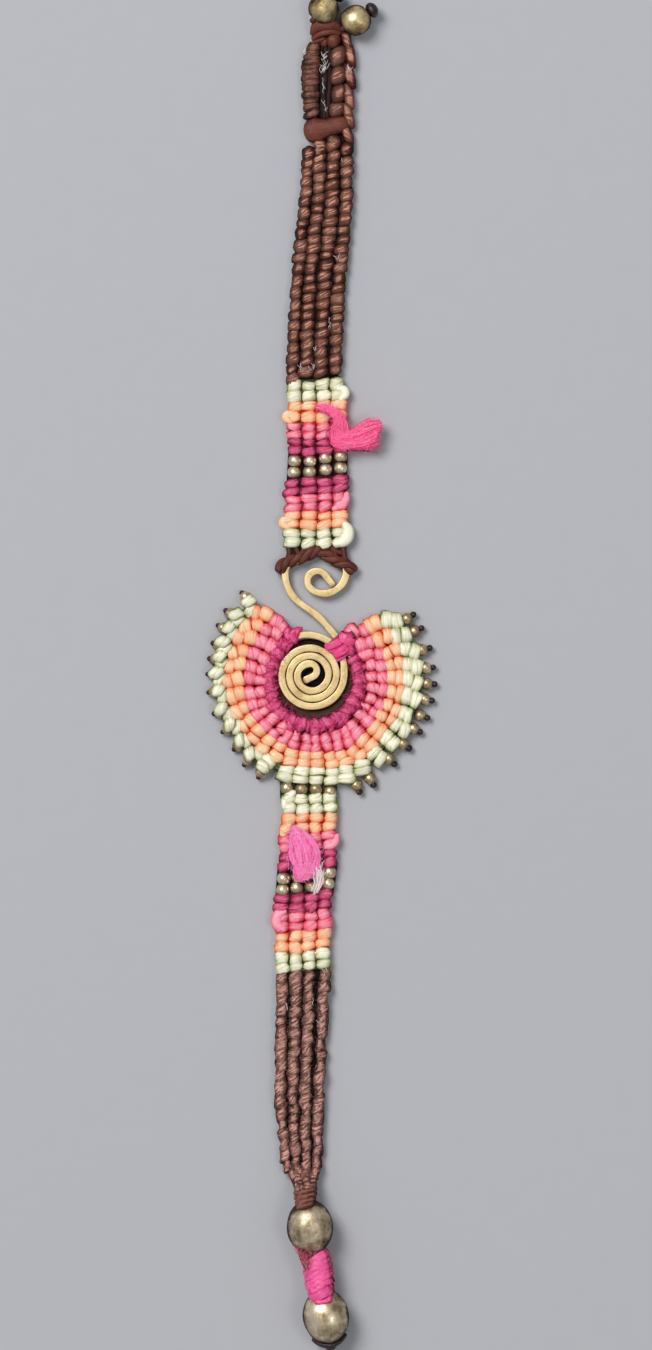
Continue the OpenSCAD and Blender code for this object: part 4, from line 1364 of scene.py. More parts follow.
@dataclass
class Fan:
    """The shell of knotted ribs, with the beads around its edge.

    A rib has two pink, two orange and two green knots: direction in degrees and distance in pixels from the
    fan's centre, from the inner one outwards.
    """

    centre: Vector = field(default_factory=lambda: photo(312.8, 677.9))
    thickness: float = 2.3
    ribs: tuple[tuple[Row, ...], ...] = (
        ((120.4, 59.8), (122.8, 67.3), (126, 79.2), (131, 86.7), (132.8, 92.5), (131.3, 102.8)),
        ((129.6, 57.2), (134.1, 66.8), (136.3, 76.5), (143, 84.8), (143, 94.2), (141.4, 102.7)),
        ((142.7, 52.2), (144.6, 63.2), (147.2, 74.7), (151.6, 85), (150.8, 92), (150.1, 101.2)),
        ((158.2, 51.5), (157.8, 63.7), (159.1, 74.7), (163.2, 83.4), (161.7, 92.5), (159.2, 99.9)),
        ((171.8, 51.4), (169.4, 63.3), (168.9, 73.6), (172.5, 84.1), (170.7, 92.1), (168, 98)),
        ((182.3, 52.8), (180, 64), (180.7, 74.8), (182.1, 84.9), (180.6, 92.8), (177.6, 99.1)),
        ((195.5, 54.8), (194.2, 64.8), (192.2, 75.1), (192.7, 83.6), (191.5, 92.2), (188.5, 98.9)),
        ((206.1, 56), (204.2, 66.1), (203.4, 74.5), (204.3, 84), (202.8, 92.5), (199.6, 99.8)),
        ((214.6, 58.8), (213.9, 66.6), (213.8, 75.6), (215.3, 83.8), (212.3, 90.5), (210.3, 98.2)),
        ((225.8, 57), (224.9, 66.7), (224.3, 75.5), (225.3, 85.7), (223.1, 92.8), (221.4, 99.7)),
        ((238.3, 57.6), (235.5, 67.8), (234.7, 76.1), (234.9, 86.6), (234.3, 94.9), (231.2, 102.1)),
        ((246.1, 62.5), (244.4, 70.3), (244.8, 76.9), (245, 86.5), (241.7, 94.4), (241.4, 104.9)),
        ((254.3, 61), (254.3, 69.5), (254.4, 78), (254.4, 86.5), (254.2, 95.5), (254.1, 103.6)),
        ((264.7, 61.5), (264.4, 69.5), (264.2, 77.5), (264, 85.6), (263.5, 94), (263.1, 101.6)),
        ((272.6, 61.5), (272.8, 69.5), (273, 77.5), (273, 85.5), (272.4, 94), (271.8, 101.4)),
        ((281.8, 62), (282.2, 71), (282.6, 80), (283, 88.4), (281.8, 96.5), (280.6, 104.6)),
        ((291.8, 62.6), (291, 72.2), (290.4, 81.9), (292.1, 90), (290, 97.2), (288.6, 106.3)),
        ((301, 63.1), (299.4, 73.5), (298.4, 83), (301.4, 91), (299.8, 98), (298.3, 105.4)),
        ((309.5, 62), (309, 71), (308.8, 79.7), (310.7, 88.9), (309.4, 97.5), (309.8, 105.1)),
        ((322.5, 60.4), (321.8, 70.2), (321.4, 78.3), (321.2, 86.3), (321.2, 94.8), (320.6, 104.2)),
        ((330.6, 58.7), (330.6, 69.4), (331.4, 78), (331.6, 88.5), (330.8, 96), (330.3, 105)),
        ((340.2, 61.5), (337.8, 72.6), (340, 80), (338.5, 89.4), (338.4, 96.4), (338.3, 103.2)),
        ((351, 60.6), (350.7, 70.8), (349.9, 80.4), (349.9, 87.9), (349.1, 95.6), (347.9, 105.5)),
        ((361.5, 59.7), (360.3, 69.7), (360.3, 78.5), (360, 86.6), (359.1, 95.2), (356.8, 104.9)),
        ((372.4, 59.9), (369.6, 69.5), (369.5, 78.3), (369.8, 87.9), (367.8, 95.2), (365.7, 104)),
        ((383.2, 58.2), (379.7, 71.4), (377.9, 78.5), (378.5, 88), (377.5, 96.7), (374.7, 105)),
        ((394.9, 57.5), (391.8, 67.3), (389.9, 76.1), (389.1, 85.5), (386.5, 93.3), (384.8, 102.2)),
        ((409.6, 61.2), (403.2, 70), (402, 77), (401.1, 84.3), (398.2, 93.6), (394.1, 100.9)),
    )
    left_ribs: int = 12
    beads_left: tuple[Row, ...] = (
        (129.8, 16.8), (142.3, 16.7), (151, 16.4), (160.8, 16), (169.5, 15.9), (178, 15.9),
        (188, 15.9), (200, 15.9), (211, 15.9), (222.3, 16.1), (231.8, 16.8), (241.3, 17.2),
    )
    beads_right: tuple[Row, ...] = (
        (292.2, 18.5), (299.6, 18.5), (313.4, 17.8), (323.8, 17.9), (333.2, 18), (340.8, 18.2),
        (349.2, 18.2), (357, 18.3), (365, 18.1), (374.3, 18.1), (384.6, 17.9), (392.1, 17.8),
    )
    bead_d: float = 1.96
    last_knot: int = 5
    magenta_step: float = 10.5
    wire_ring: float = 38.5
    spiral_middle: Row = (312.6, 676.8)
    loop_step: float = 3.2
    loop_z: float = 1.85
    widest_knot: float = 2.9

    def at(self, rib: int, knot: int) -> Vector:
        """Place of a knot. One number before the first is the magenta knot inside it."""
        direction, distance = self.ribs[rib][max(knot, 0)]
        return polar(self.centre, (distance - self.magenta_step * (knot < 0)) * PX, direction, self.thickness / 2)

    def spot(self, rib: int, knot: int) -> Spot:
        """Place, direction and size of a knot, from its neighbours."""
        low, high = max(knot - 1, -1), min(knot + 1, self.last_knot)
        before, after = max(rib - 1, 0), min(rib + 1, len(self.ribs) - 1)
        run = self.at(rib, high) - self.at(rib, low)
        across = (self.at(after, knot) - self.at(before, knot)).length / (after - before)
        length = run.length / max(1, high - low) * 1.2
        width = min(across * 1.12, self.widest_knot)
        return Spot(self.at(rib, knot), heading_of(run), width, length, self.thickness)

    def build(self, shop: Workshop) -> None:
        """Ties the ribs, and threads the beads."""
        for look, knots in ((Look.PINK, (0, 1)), (Look.ORANGE, (2, 3)), (Look.GREEN, (4, 5))):
            colour = look.name.lower()
            places = [(r, k) for r in range(len(self.ribs)) for k in knots if k < self.last_knot or r >= self.left_ribs]
            spots = [self.spot(rib, knot) for rib, knot in places]
            seed = 50 + knots[0]
            shop.tie(f"fan_{colour}_knots", spots, shop.drum, look, seed, 12, 0.09, node=f"fan_{colour}")
        self._edge_loops(shop)
        self._magenta_row(shop)
        self._web(shop)
        self._beads(shop)

    def _edge_loops(self, shop: Workshop) -> None:
        """Ties the plump green loops that hang over the beads on the left edge."""
        spots = []
        for rib in range(self.left_ribs):
            direction, distance = self.ribs[rib][self.last_knot]
            at = polar(self.centre, (distance - self.loop_step) * PX, direction - 1.0, self.loop_z)
            spots.append(Spot(at, self.spot(rib, self.last_knot).heading + 12, 2.45, 1.95, 1.9))
        name = "fan_green_edge_loops"
        shop.tie(name, spots, shop.falling, Look.GREEN, 61, 8, 0.08, node="fan_green_loops")

    def _magenta_row(self, shop: Workshop) -> None:
        """Ties the fuzzy magenta knots inside the pink ones, in three sizes."""
        # Width, height and painted shade of each size; the smallest knots get the most painted shade
        sizes = ((1.05, 2.25, 0.0), (0.86, 1.9, 0.2), (1.12, 2.2, 0.05))
        spots = [self.spot(rib, -1) for rib in range(len(self.ribs))]
        for i, s in enumerate(spots):
            wide, high, shade = sizes[i % 3]
            s.width, s.length, s.height, s.shade = s.width * wide, 2.5, high, shade
        tied = shop.tie("fan_magenta_knots", spots, shop.bean, Look.BRIGHT, 71, 26, 0.24, 1.7)
        shop.grow(tied, "fan_magenta", Look.BRIGHT, 6.5e6, 0.95, 72)

    def _web(self, shop: Workshop) -> None:
        """Lays the inner cords that close the fan between its ribs, in painted shade, and dark strips under the ring
        and the spiral as painted shadow.
        """
        for look, knots in ((Look.PINK, (0, 1)), (Look.ORANGE, (2, 3)), (Look.GREEN, (4,))):
            maker = MeshMaker()
            for knot in knots:
                path = smooth([self.at(rib, knot) for rib in range(len(self.ribs))], 3)
                maker.sweep(path, 0.8, 0.5, sides=6, deep=0.85)
            shop.lay(maker, f"fan_{look.name.lower()}_inner_cords", look)
        # Painted shadow: a dark strip in the gap inside the ring, and a dark coil under the spiral
        under = MeshMaker()
        line = [polar(self.centre, self.wire_ring * PX, 128 + 277 * i / 60, 0.5) for i in range(61)]
        under.sweep(line, 1.3, 0.42, sides=8, deep=0.5)
        shop.lay(under, "ring_inner_cords", Look.PLAIN)
        under = MeshMaker()
        coil = [polar(photo(*self.spiral_middle), 0.1 + 1.25 * i / 24, 15 * i, 0.35) for i in range(117)]
        under.sweep(coil, 0.68, 0.3, sides=6, deep=0.95)
        shop.lay(under, "spiral_inner_cords", Look.PLAIN)

    def _beads(self, shop: Workshop) -> None:
        """Threads the beads around the edge, each with its burnt knot."""
        for side, table, reach, size in (("left", self.beads_left, 0.9, 0.42), ("right", self.beads_right, 1.2, 0.52)):
            beads, knots = MeshMaker(), MeshMaker()
            for i, (direction, distance) in enumerate(table):
                at = polar(self.centre, distance, direction, self.bead_d / 2)
                axis = toward(direction)
                add_bead(beads, at, axis, self.bead_d, seed=i)
                add_lump(knots, at + axis * reach, axis, size, seed=i)
            shop.lay(beads, f"fan_edge_beads_{side}", Look.DARK_BEAD, f"fan_beads_{side}")
            shop.lay(knots, f"fan_edge_knots_{side}", Look.CHAR, f"fan_knots_{side}")


def bead_profile(d: float, length: float, bore: float, oval: float, steps: int) -> list[Row]:
    """Outline of a bead from the hole's mouth at one end over its side to the other.

    Args:
        d: Its diameter.
        length: Its length.
        bore: Diameter of its hole.
        oval: Length that its side's oval would have without flat ends.
        steps: Points on the side.

    Returns:
        (distance along the axis, radius) rows, with the hole's rim turned in at both ends.
    """
    reach = oval / 2
    half = length / 2
    rows = []
    for i in range(steps):
        s = -half + length * (0.5 - 0.5 * math.cos(math.pi * i / (steps - 1)))
        rows.append((s, max(bore / 2 + 0.06, d / 2 * math.sqrt(max(0.0, 1 - (s / reach) ** 2)))))
    lip = bore / 2
    mouth = [(-half + length * 0.2, lip * 0.9), (-half + length * 0.03, lip * 0.94), (-half - 0.01, lip)]
    return [*mouth, *rows, *[(-s, r) for s, r in reversed(mouth)]]


def add_bead(
    maker: MeshMaker,
    at: Vector,
    axis: Vector,
    d: float,
    seed: int,
    length: float = 0.0,
    bore: float = 0.0,
    oval: float = 0.0,
    sides: int = 20,
    dents: float = 0.0,
) -> None:
    """Turns a bead. Sizes left out follow from its diameter.

    Args:
        maker: Mesh to add it to.
        at: Its middle.
        axis: Direction of its hole.
        d: Its diameter.
        seed: Seed of its unevenness.
        length: Its length along the hole.
        bore: Diameter of the hole.
        oval: Length that its side's oval would have without flat ends.
        sides: Points around.
        dents: How uneven its side is, in millimetres.
    """
    length = length or d * 0.9
    large = sides > 30
    profile = bead_profile(d, length, bore or d * 0.3, oval or d, 19 if large else 11)
    tint = random.Random(seed * 7 + 3).random()
    # Patina towards the holes; painted shade on the flanks, much more on the large beads
    deep = lambda s: 0.75 * max(0.0, abs(s) / (length / 2) - 0.6) ** 1.2 * 2
    maker.lathe(at, axis, profile, sides, tint, deep, dents or d * 0.008, seed, rim=0.9 if large else 0.12)


def add_lump(
    maker: MeshMaker, at: Vector, axis: Vector, r: float, seed: int, flat: float = 1.0, uneven: float = 0.16
) -> None:
    """Adds a melted lump of cord.

    Args:
        maker: Mesh to add it to.
        at: Its middle.
        axis: Direction of its axis.
        r: Its radius.
        seed: Seed of its shape.
        flat: Its length as a share of its width.
        uneven: How uneven it is, as a share of its radius.
    """
    profile = [(-math.cos(math.pi * i / 10) * r * flat, max(0.02, math.sin(math.pi * i / 10) * r)) for i in range(11)]
    maker.lathe(at, axis, profile, 14, random.Random(seed).random(), lambda s: 0.0, r * uneven, seed)


@dataclass
class StrapBeads:
    """The small beads threaded on the strap's four cords, with each bead's middle in pixels."""

    d: float = 2.14
    length: float = 1.8
    z: float = 1.13
    low_z: float = 0.5
    cord_reach: float = 1.7
    upper: tuple[tuple[Row, ...], ...] = (
        ((294.7, 461), (310, 461.4), (325.3, 458.2), (340.9, 456.3)),
        ((294, 472.7), (309.5, 472.3), (325.7, 470), (340.5, 468.2)),
    )
    lower: tuple[tuple[Row, ...], ...] = (
        ((283.6, 878.4), (298.2, 876.4), (313.8, 875), (329.6, 872.2)),
        ((282.7, 890.1), (296.9, 888), (311, 886.2), (327.9, 883.6)),
    )
    fan_row: tuple[tuple[Row, ...], ...] = (((286.9, 787.9), (301.4, 789.3), (316, 789.3), (330.1, 791.6)),)

    def _thread(
        self, shop: Workshop, name: str, node: str, rows: tuple[tuple[Row, ...], ...], metal: Look, cord: Look
    ) -> None:
        """Threads rows of beads, with the cords through them in painted shade, and a dark band under each column as
        painted shadow between the beads.

        Args:
            shop: The workshop.
            name: How the names of its pieces start.
            node: The CAD node that the beads stand for.
            rows: Each bead's place in pixels, row by row.
            metal: The beads' finish.
            cord: The cords' finish.
        """
        beads, cords = MeshMaker(), MeshMaker()
        for column in range(len(rows[0])):
            places = [photo(*row[column], self.z) for row in rows]
            axis = (places[0] - places[-1]).normalized() if len(places) > 1 else Vector((0, 1, 0))
            for j, at in enumerate(places):
                add_bead(beads, at, axis, self.d, column * 3 + j + len(name), self.length)
            reach = axis * self.cord_reach
            ends = [places[0] + reach, *places, places[-1] - reach]
            # The cord through the beads gets painted shade; the wide band under it is painted shadow
            cords.sweep(smooth(ends, 3), 0.42, deep=0.7)
            low = [end + Vector((0.14 * (1.5 - column), 0, self.low_z - self.z)) for end in ends]
            cords.sweep(smooth(low, 3), 1.32, 0.42, deep=1.0)
        shop.lay(beads, f"{name}_beads", metal, node)
        shop.lay(cords, f"{name}_bead_cords", cord)

    def build(self, shop: Workshop) -> None:
        """Threads all three sets."""
        self._thread(shop, "upper_spacer", "upper_spacer_beads", self.upper, Look.SMALL_BEAD, Look.MAGENTA)
        self._thread(shop, "lower_spacer", "lower_spacer_beads", self.lower, Look.SMALL_BEAD, Look.MAGENTA)
        self._thread(shop, "fan_strap_row", "fan_strap_beads", self.fan_row, Look.DARK_BEAD, Look.GREEN)


@dataclass
class ButtonLoop:
    """The buttonhole: its legs, the wraps at its ends, and the two beads on its cord ends. Places are in pixels."""

    left: tuple[Row, ...] = (
        (314.5, 45), (313, 52), (311.8, 60), (310.8, 70), (310.6, 80), (310.6, 92), (311, 104), (311.8, 118),
    )
    left_turns: int = 14
    inner: tuple[tuple[float, ...], ...] = (
        (338.3, 57.5, 17, 19), (338.3, 76.3, 16.5, 18), (338.3, 94, 16.5, 17), (336.9, 109.5, 17, 16),
    )
    outer: tuple[tuple[float, ...], ...] = (
        (346.4, 40, 10, 18), (350, 55.5, 11, 22), (349.6, 76.5, 11.5, 23), (349, 97, 10.5, 22),
        (348.2, 116, 10.5, 23), (347.4, 134, 10.5, 20), (320, 146, 13, 12), (334, 141.5, 13.5, 12),
    )
    inner_strands: tuple[tuple[Row, ...], ...] = (
        ((321.5, 46), (320.8, 70), (320.8, 90), (322, 106), (321, 117)),
        ((330, 45), (330.2, 68), (330, 86), (329, 102), (327.5, 117)),
        ((326, 46), (325.4, 76), (323.4, 92), (324.4, 108), (324, 118)),
    )
    # Dark cords as painted shadow in the slit and between the columns: start and end in pixels, half of the width in
    # millimetres
    shadow_cords: tuple[tuple[float, ...], ...] = (
        (325, 43, 324.6, 117, 1.15), (341.5, 126, 343.5, 147, 0.7), (341, 36, 344.5, 128, 0.6),
    )
    frays: tuple[Patch, ...] = (
        (323.6, 60, 3, 10), (323.8, 70, 5, 16), (322.8, 88, 7, 5), (325, 108, 5, 4),
        (306, 54.7, 1.5, 7), (311, 22.8, 1.5, 7), (348.5, 73, 4, 13), (347.5, 44, 1.5, 4),
    )
    bead_d: float = 4.95
    strand_z: float = 0.62
    gap_z: float = 0.45
    bead_left: Place = (0.6, 105.95, 47.0)
    bead_right: Place = (5.7, 104.1, 33.0)

    def build(self, shop: Workshop) -> None:
        """Ties the buttonhole and threads its beads."""
        self._legs(shop)
        self._wraps(shop)
        shop.fray("loop_frayed_fibres", self.frays, 5)
        for side, (x, y, heading) in (("left", self.bead_left), ("right", self.bead_right)):
            self._end_bead(shop, side, Vector((x, y, self.bead_d / 2)), toward(heading))

    def _legs(self, shop: Workshop) -> None:
        """Ties the three columns of knots beside the slit, and lays the strands in the slit, in painted shade, with
        dark cords as painted shadow in the slit and between the columns.
        """
        shop.tie("loop_leg_left_turns", self._turns(), shop.coil, Look.AGED, 81, 9, 0.07, node="loop_leg_left")
        spots = [Spot(photo(x, y, 1.1), 90, w * PX, h * PX * 1.1, 2.2) for x, y, w, h in self.inner]
        shop.tie("loop_leg_inner_knots", spots, shop.bean, Look.FINE, 82, 9, 0.07, 1.1, "loop_leg_inner")
        spots = [Spot(photo(x, y, 1.05), 97, w * PX, h * PX * 1.12, 1.95) for x, y, w, h in self.outer]
        shop.tie("loop_leg_outer_knots", spots, shop.falling, Look.FINE, 83, 6, 0.04, node="loop_leg_outer")
        maker = MeshMaker()
        for i, line in enumerate(self.inner_strands):
            maker.sweep(trace(line, z=self.strand_z), 0.5, 0.42, deep=0.8, tint=0.3 + 0.2 * i)
        for x, y, end_x, end_y, half in self.shadow_cords:
            places = ((x, y), ((x + end_x) / 2, (y + end_y) / 2), (end_x, end_y))
            maker.sweep([photo(*place, self.gap_z) for place in places], half, 0.35, deep=1.0)
        shop.lay(maker, "loop_inner_strands", Look.PLAIN)

    def _turns(self) -> list[Spot]:
        """Where the turns round the left leg sit."""
        path = trace(self.left, 12, 1.12)
        last = len(path) - 1
        out = []
        for i in range(self.left_turns):
            t = (i + 0.5) / self.left_turns * last
            p, q = path[int(t)], path[min(int(t) + 1, last)]
            way = path[max(int(t) - 3, 0)] - path[min(int(t) + 4, last)]
            width = lookup(i, ((0, 1.8), (2, 2.5), (4, 3.0), (10, 3.05), (13, 2.8)))
            out.append(Spot(p.lerp(q, t % 1), heading_of(way), width, 1.18, 2.25))
        return out

    def _wraps(self, shop: Workshop) -> None:
        """Lays the wide band under the slit and the wraps over its top."""
        band = MeshMaker()
        line = ((311, 131.5), (315.5, 130.8), (322, 129.3), (330, 127.4), (337, 125.6), (342, 124.6))
        wide = lambda t: lookup(t, ((0.0, 1.9), (0.15, 2.2), (0.35, 1.75), (0.55, 1.45), (0.8, 1.5), (1.0, 1.35)))
        band.sweep(trace(line, z=1.25), wide, 1.22, sides=20, tint=0.45)
        shop.lay(band, "loop_band_wrap", Look.WRAP, "loop_band")
        top = MeshMaker()
        saddle = ((313.5, 33, 1.3), (316.5, 28, 1.9), (323, 25, 2.25), (331, 24.8, 2.2), (337, 27, 1.8), (340, 31, 1.2))
        wide = lambda t: lookup(t, ((0.0, 0.6), (0.3, 1.15), (0.55, 1.2), (0.8, 0.8), (1.0, 0.45)))
        top.sweep(trace(saddle), wide, 0.8, sides=16, tint=0.3)
        second = ((314.5, 38.5, 1.2), (319, 35.5, 1.9), (325, 33.6, 2.2), (331.5, 32.8, 2.15), (338, 33.5, 1.5))
        top.sweep(trace(second), 0.52, 0.6, sides=12, tint=0.75)
        leaning = Vector((0.25, 1, 0))
        add_lump(top, photo(333.6, 41, 1.4), leaning, 1.2, seed=6, flat=1.05, uneven=0.06)
        add_lump(top, photo(324.5, 42, 0.9), leaning, 0.8, seed=9, flat=1.2, uneven=0.06)
        for i in range(5):
            foot, head = (310.5 + 2.2 * i, 46.5 - 0.6 * i, 0.9), (318 + 1.8 * i, 42.5 - 1.1 * i, 1.0)
            top.sweep(trace((foot, (314 + 2.2 * i, 43 - 0.9 * i, 1.6), head), 4), 0.34, 0.4, tint=0.2 * i)
        shop.lay(top, "loop_top_wraps", Look.WRAP, "loop_top_wrap")

    def _end_bead(self, shop: Workshop, side: str, at: Vector, axis: Vector) -> None:
        """Threads one end bead, with its cord and burnt knot.

        Args:
            shop: The workshop.
            side: Left or right.
            at: The bead's middle.
            axis: Direction of its hole, away from the buttonhole.
        """
        bead, cord, knot = MeshMaker(), MeshMaker(), MeshMaker()
        add_bead(bead, at, axis, self.bead_d, 90 + len(side), bore=1.3, sides=40)
        reach = self.bead_d / 2
        cord.sweep([at + axis * s for s in (-reach - 0.1, -reach, 0.0, reach - 0.2, reach)], 0.5, sides=10, deep=0.35)
        add_lump(knot, at + axis * (reach + 0.62), axis, 1.3, seed=len(side), flat=0.72)
        shop.lay(bead, f"end_bead_{side}_brass", Look.GOLD_BEAD, f"end_bead_{side}")
        shop.lay(cord, f"end_cord_{side}_strand", Look.PLAIN, f"end_cord_{side}")
        shop.lay(knot, f"burnt_knot_{side}_lump", Look.CHAR, f"burnt_knot_{side}")


@dataclass
class Clasp:
    """The neck, the two large beads, the wrap between them and the knot behind them."""

    bead_d: float = 7.4
    oval: float = 8.9
    length: float = 8.3
    bore: float = 2.4
    cord_half: float = 1.08
    neck_strands: int = 6
    neck_twist: float = 0.085
    core_strands: int = 9
    first: Place = (-1.6, -88.6, -86.0)
    second: Place = (0.95, -102.85, -81.0)
    wrap_turns: int = 8
    wrap_top: float = 1257.5
    wrap_step: float = 4.9
    wrap_x: tuple[Row, ...] = ((1256, 316.2), (1270, 318.2), (1280, 319.8), (1292, 321.4))
    wrap_half: tuple[Row, ...] = ((1256, 10.6), (1268, 11.8), (1280, 12.2), (1292, 11.0))
    neck_lines: tuple[tuple[Row, ...], ...] = (
        ((288, 1162), (290.5, 1168), (294, 1175), (297, 1182), (299.5, 1189)),
        ((296, 1163), (297, 1170), (298.5, 1178), (300.5, 1186), (302.5, 1193)),
        ((305.5, 1163), (305.5, 1170), (306, 1178), (307.5, 1186), (308, 1193)),
        ((317.5, 1162), (316.5, 1168), (314.5, 1175), (312.5, 1182), (311.5, 1189)),
    )
    neck_heights: tuple[Row, ...] = ((1162, 1.2), (1170, 1.5), (1176, 1.9), (1182, 2.6), (1188, 3.6), (1193, 4.3))
    neck_rows: tuple[tuple[float, ...], ...] = (
        (1170, 302.6, 15.5, 1.1), (1176, 303, 14, 1.3), (1182, 303.8, 12, 1.9), (1188, 304.6, 10.6, 2.9),
        (1193, 304.8, 10, 3.6), (1199, 304.6, 9, 4.6), (1204, 304.2, 7, 5.6),
    )
    neck_rings: tuple[tuple[float, ...], ...] = (
        (1190, 305.4, 9.7, 3.2), (1194.5, 305.6, 9.3, 3.7), (1199, 305.6, 8.4, 4.5), (1203.2, 305.4, 6.8, 5.3),
    )
    tangle: tuple[Patch, ...] = (
        (300, 1251, 2.5, 44), (303, 1256, 3.5, 58), (305.5, 1262, 3.5, 54), (308, 1267, 2.5, 24), (310, 1252, 2.5, 38),
    )
    tangle_edge: tuple[Patch, ...] = (
        (314, 1255, 3, 16), (310.5, 1261, 3, 20), (308, 1267, 2.5, 20), (307.5, 1272, 2, 8),
    )

    def _placed(self, bead: Place) -> tuple[Vector, Vector]:
        """Middle and axis of a bead."""
        x, y, heading = bead
        return Vector((x, y, self.bead_d / 2)), toward(heading)

    def build(self, shop: Workshop) -> None:
        """Makes the clasp end."""
        for name, bead, seed in (("first", self.first, 3), ("second", self.second, 4)):
            maker = MeshMaker()
            add_bead(maker, *self._placed(bead), self.bead_d, seed, self.length, self.bore, self.oval, 56, 0.07)
            shop.lay(maker, f"clasp_bead_{name}_brass", Look.BEAD, f"clasp_bead_{name}")
        self._neck(shop)
        self._core(shop)
        self._wrap(shop)
        self._end(shop)

    def _neck(self, shop: Workshop) -> None:
        """Gathers the columns into the neck, and lays its end over the first bead."""
        maker = MeshMaker()
        for i in range(self.neck_strands):
            points = []
            for k, (y, x, half, z) in enumerate(self.neck_rows):
                a = math.tau * (i / self.neck_strands + self.neck_twist * k)
                lift = math.sin(a) * min(0.75, half * PX * 0.5)
                points.append(photo(x + math.cos(a) * half * 0.62, y, z + lift))
            maker.sweep(smooth(points), 0.66, 0.62, sides=10, tint=0.16 * i)
        for y, x, half, z in self.neck_rings:
            ring = []
            for j in range(-3, 20):
                a = math.tau * j / 16
                ring.append(photo(x + half * math.cos(a), y - 2.2 * math.cos(a), z + 1.35 * math.sin(a)))
            maker.sweep(ring, 0.42, deep=0.05)
        self._neck_knots(shop)
        at, axis = self._placed(self.first)
        maker.sweep([at + axis * s for s in (-4.5, -2.0, 0.0, 2.0, 4.1)], self.cord_half, sides=12, deep=0.2)
        shop.lay(maker, "strap_neck_cords", Look.PLAIN, "strap_neck")

    def _neck_knots(self, shop: Workshop) -> None:
        """Ties the last small knots, where the four columns run together."""
        spots = []
        for line in self.neck_lines:
            path = trace([(x, y, lookup(y, self.neck_heights)) for x, y in line], 4)
            for a, b in zip(path[::2], path[2::2]):
                spots.append(Spot((a + b) / 2, heading_of(a - b) + 6, 1.45, (a - b).length * 1.45, 1.3))
        shop.tie("strap_neck_knots", spots, shop.worn, Look.DUSTY, 95, 10, 0.1, 0.6)

    def _core(self, shop: Workshop) -> None:
        """Lays the brown bundle under the pink wrap."""
        z = self.bead_d / 2
        core = MeshMaker()
        for i in range(self.core_strands):
            lift = math.cos(i * 2.1)
            line = (
                (299.8 + 1.7 * i, 1247, 0.3), (301 + 1.7 * i, 1254, 0.7),
                (303.6 + 1.75 * i, 1261, 1.0), (307 + 1.8 * i, 1267 - 0.6 * i, 0.9),
            )
            path = trace([(x, y, z + up + 0.4 * lift) for x, y, up in line])
            core.sweep(path, 0.32, sides=6, tint=0.11 * i, deep=0.1)
        heart = ((313, 1250), (317, 1262), (321, 1276), (324, 1290))
        core.sweep([photo(x, y, z) for x, y in heart], 1.5, 1.4, sides=12)
        cords = shop.lay(core, "clasp_core_cords", Look.PLAIN, "clasp_core")
        shop.grow(cords, "clasp_core", Look.BRIGHT, 3.0e6, 0.7, 94, "loose_pink_fibre")
        fuzzy = (*self.tangle, *self.tangle_edge)
        shop.fray("clasp_tangled_fibres", fuzzy, 15, (0.5, 1.4), (z + 0.6, z + 1.95), Look.PINK)
        shop.fray("clasp_magenta_fibres", self.tangle, 19, (0.5, 1.3), (z + 0.5, z + 1.8), Look.SATIN)

    def _wrap(self, shop: Workshop) -> None:
        """Winds the flat pink fibre over the bundle in broad slanting bands, the last one over the second bead."""
        wrap = MeshMaker()
        chance = random.Random(29)
        for k in range(self.wrap_turns):
            y = self.wrap_top + self.wrap_step * k
            x, half = lookup(y, self.wrap_x), lookup(y, self.wrap_half)
            slope = 0.72 - 0.035 * k + chance.uniform(-0.07, 0.07)
            climb = 1.4 * (k == self.wrap_turns - 1)
            ring = []
            for j in range(-4, 29):
                a = math.tau * j / 24
                z = self.bead_d / 2 + (1.72 + 0.04 * k) * math.sin(a) + climb * max(0.0, math.sin(a))
                ring.append(photo(x + half * math.cos(a), y - half * slope * math.cos(a), z))
            wrap.sweep(ring, chance.uniform(0.66, 0.95), 0.22, sides=12, tint=chance.random(), square=0.85)
        tongue = ((319, 1284, 5.1), (321, 1290, 5.75), (322.5, 1295.5, 6.35), (323.2, 1299, 6.75))
        wrap.sweep(trace(tongue), lambda t: 1.75 - 0.35 * t, 0.42, sides=16, tint=0.7)
        bands = shop.lay(wrap, "clasp_wrap_bands", Look.SATIN, "clasp_wrap")
        shop.grow(bands, "clasp_wrap", Look.SATIN, 1.2e6, 0.55, 93)

    def _end(self, shop: Workshop) -> None:
        """Ties the dark knot behind the second bead: a crescent close against it."""
        at, axis = self._placed(self.second)
        side = Vector((-axis.y, axis.x, 0))
        maker = MeshMaker()
        path = []
        for j in range(-7, 8):
            a = math.radians(j * 6.0)
            path.append(at + axis * 4.6 * math.cos(a) + side * 3.85 * math.sin(a) - UP * 0.3)
        wide = lambda t: 0.3 + 0.28 * math.sin(math.pi * t)
        high = lambda t: 0.5 + 1.1 * math.sin(math.pi * t)
        maker.sweep(path, wide, high, sides=14)
        maker.sweep([at + axis * s for s in (-4.1, -2.0, 0.0, 2.0, 4.5)], self.cord_half, sides=12)
        shop.lay(maker, "end_knot_lump", Look.CHAR, "end_knot")


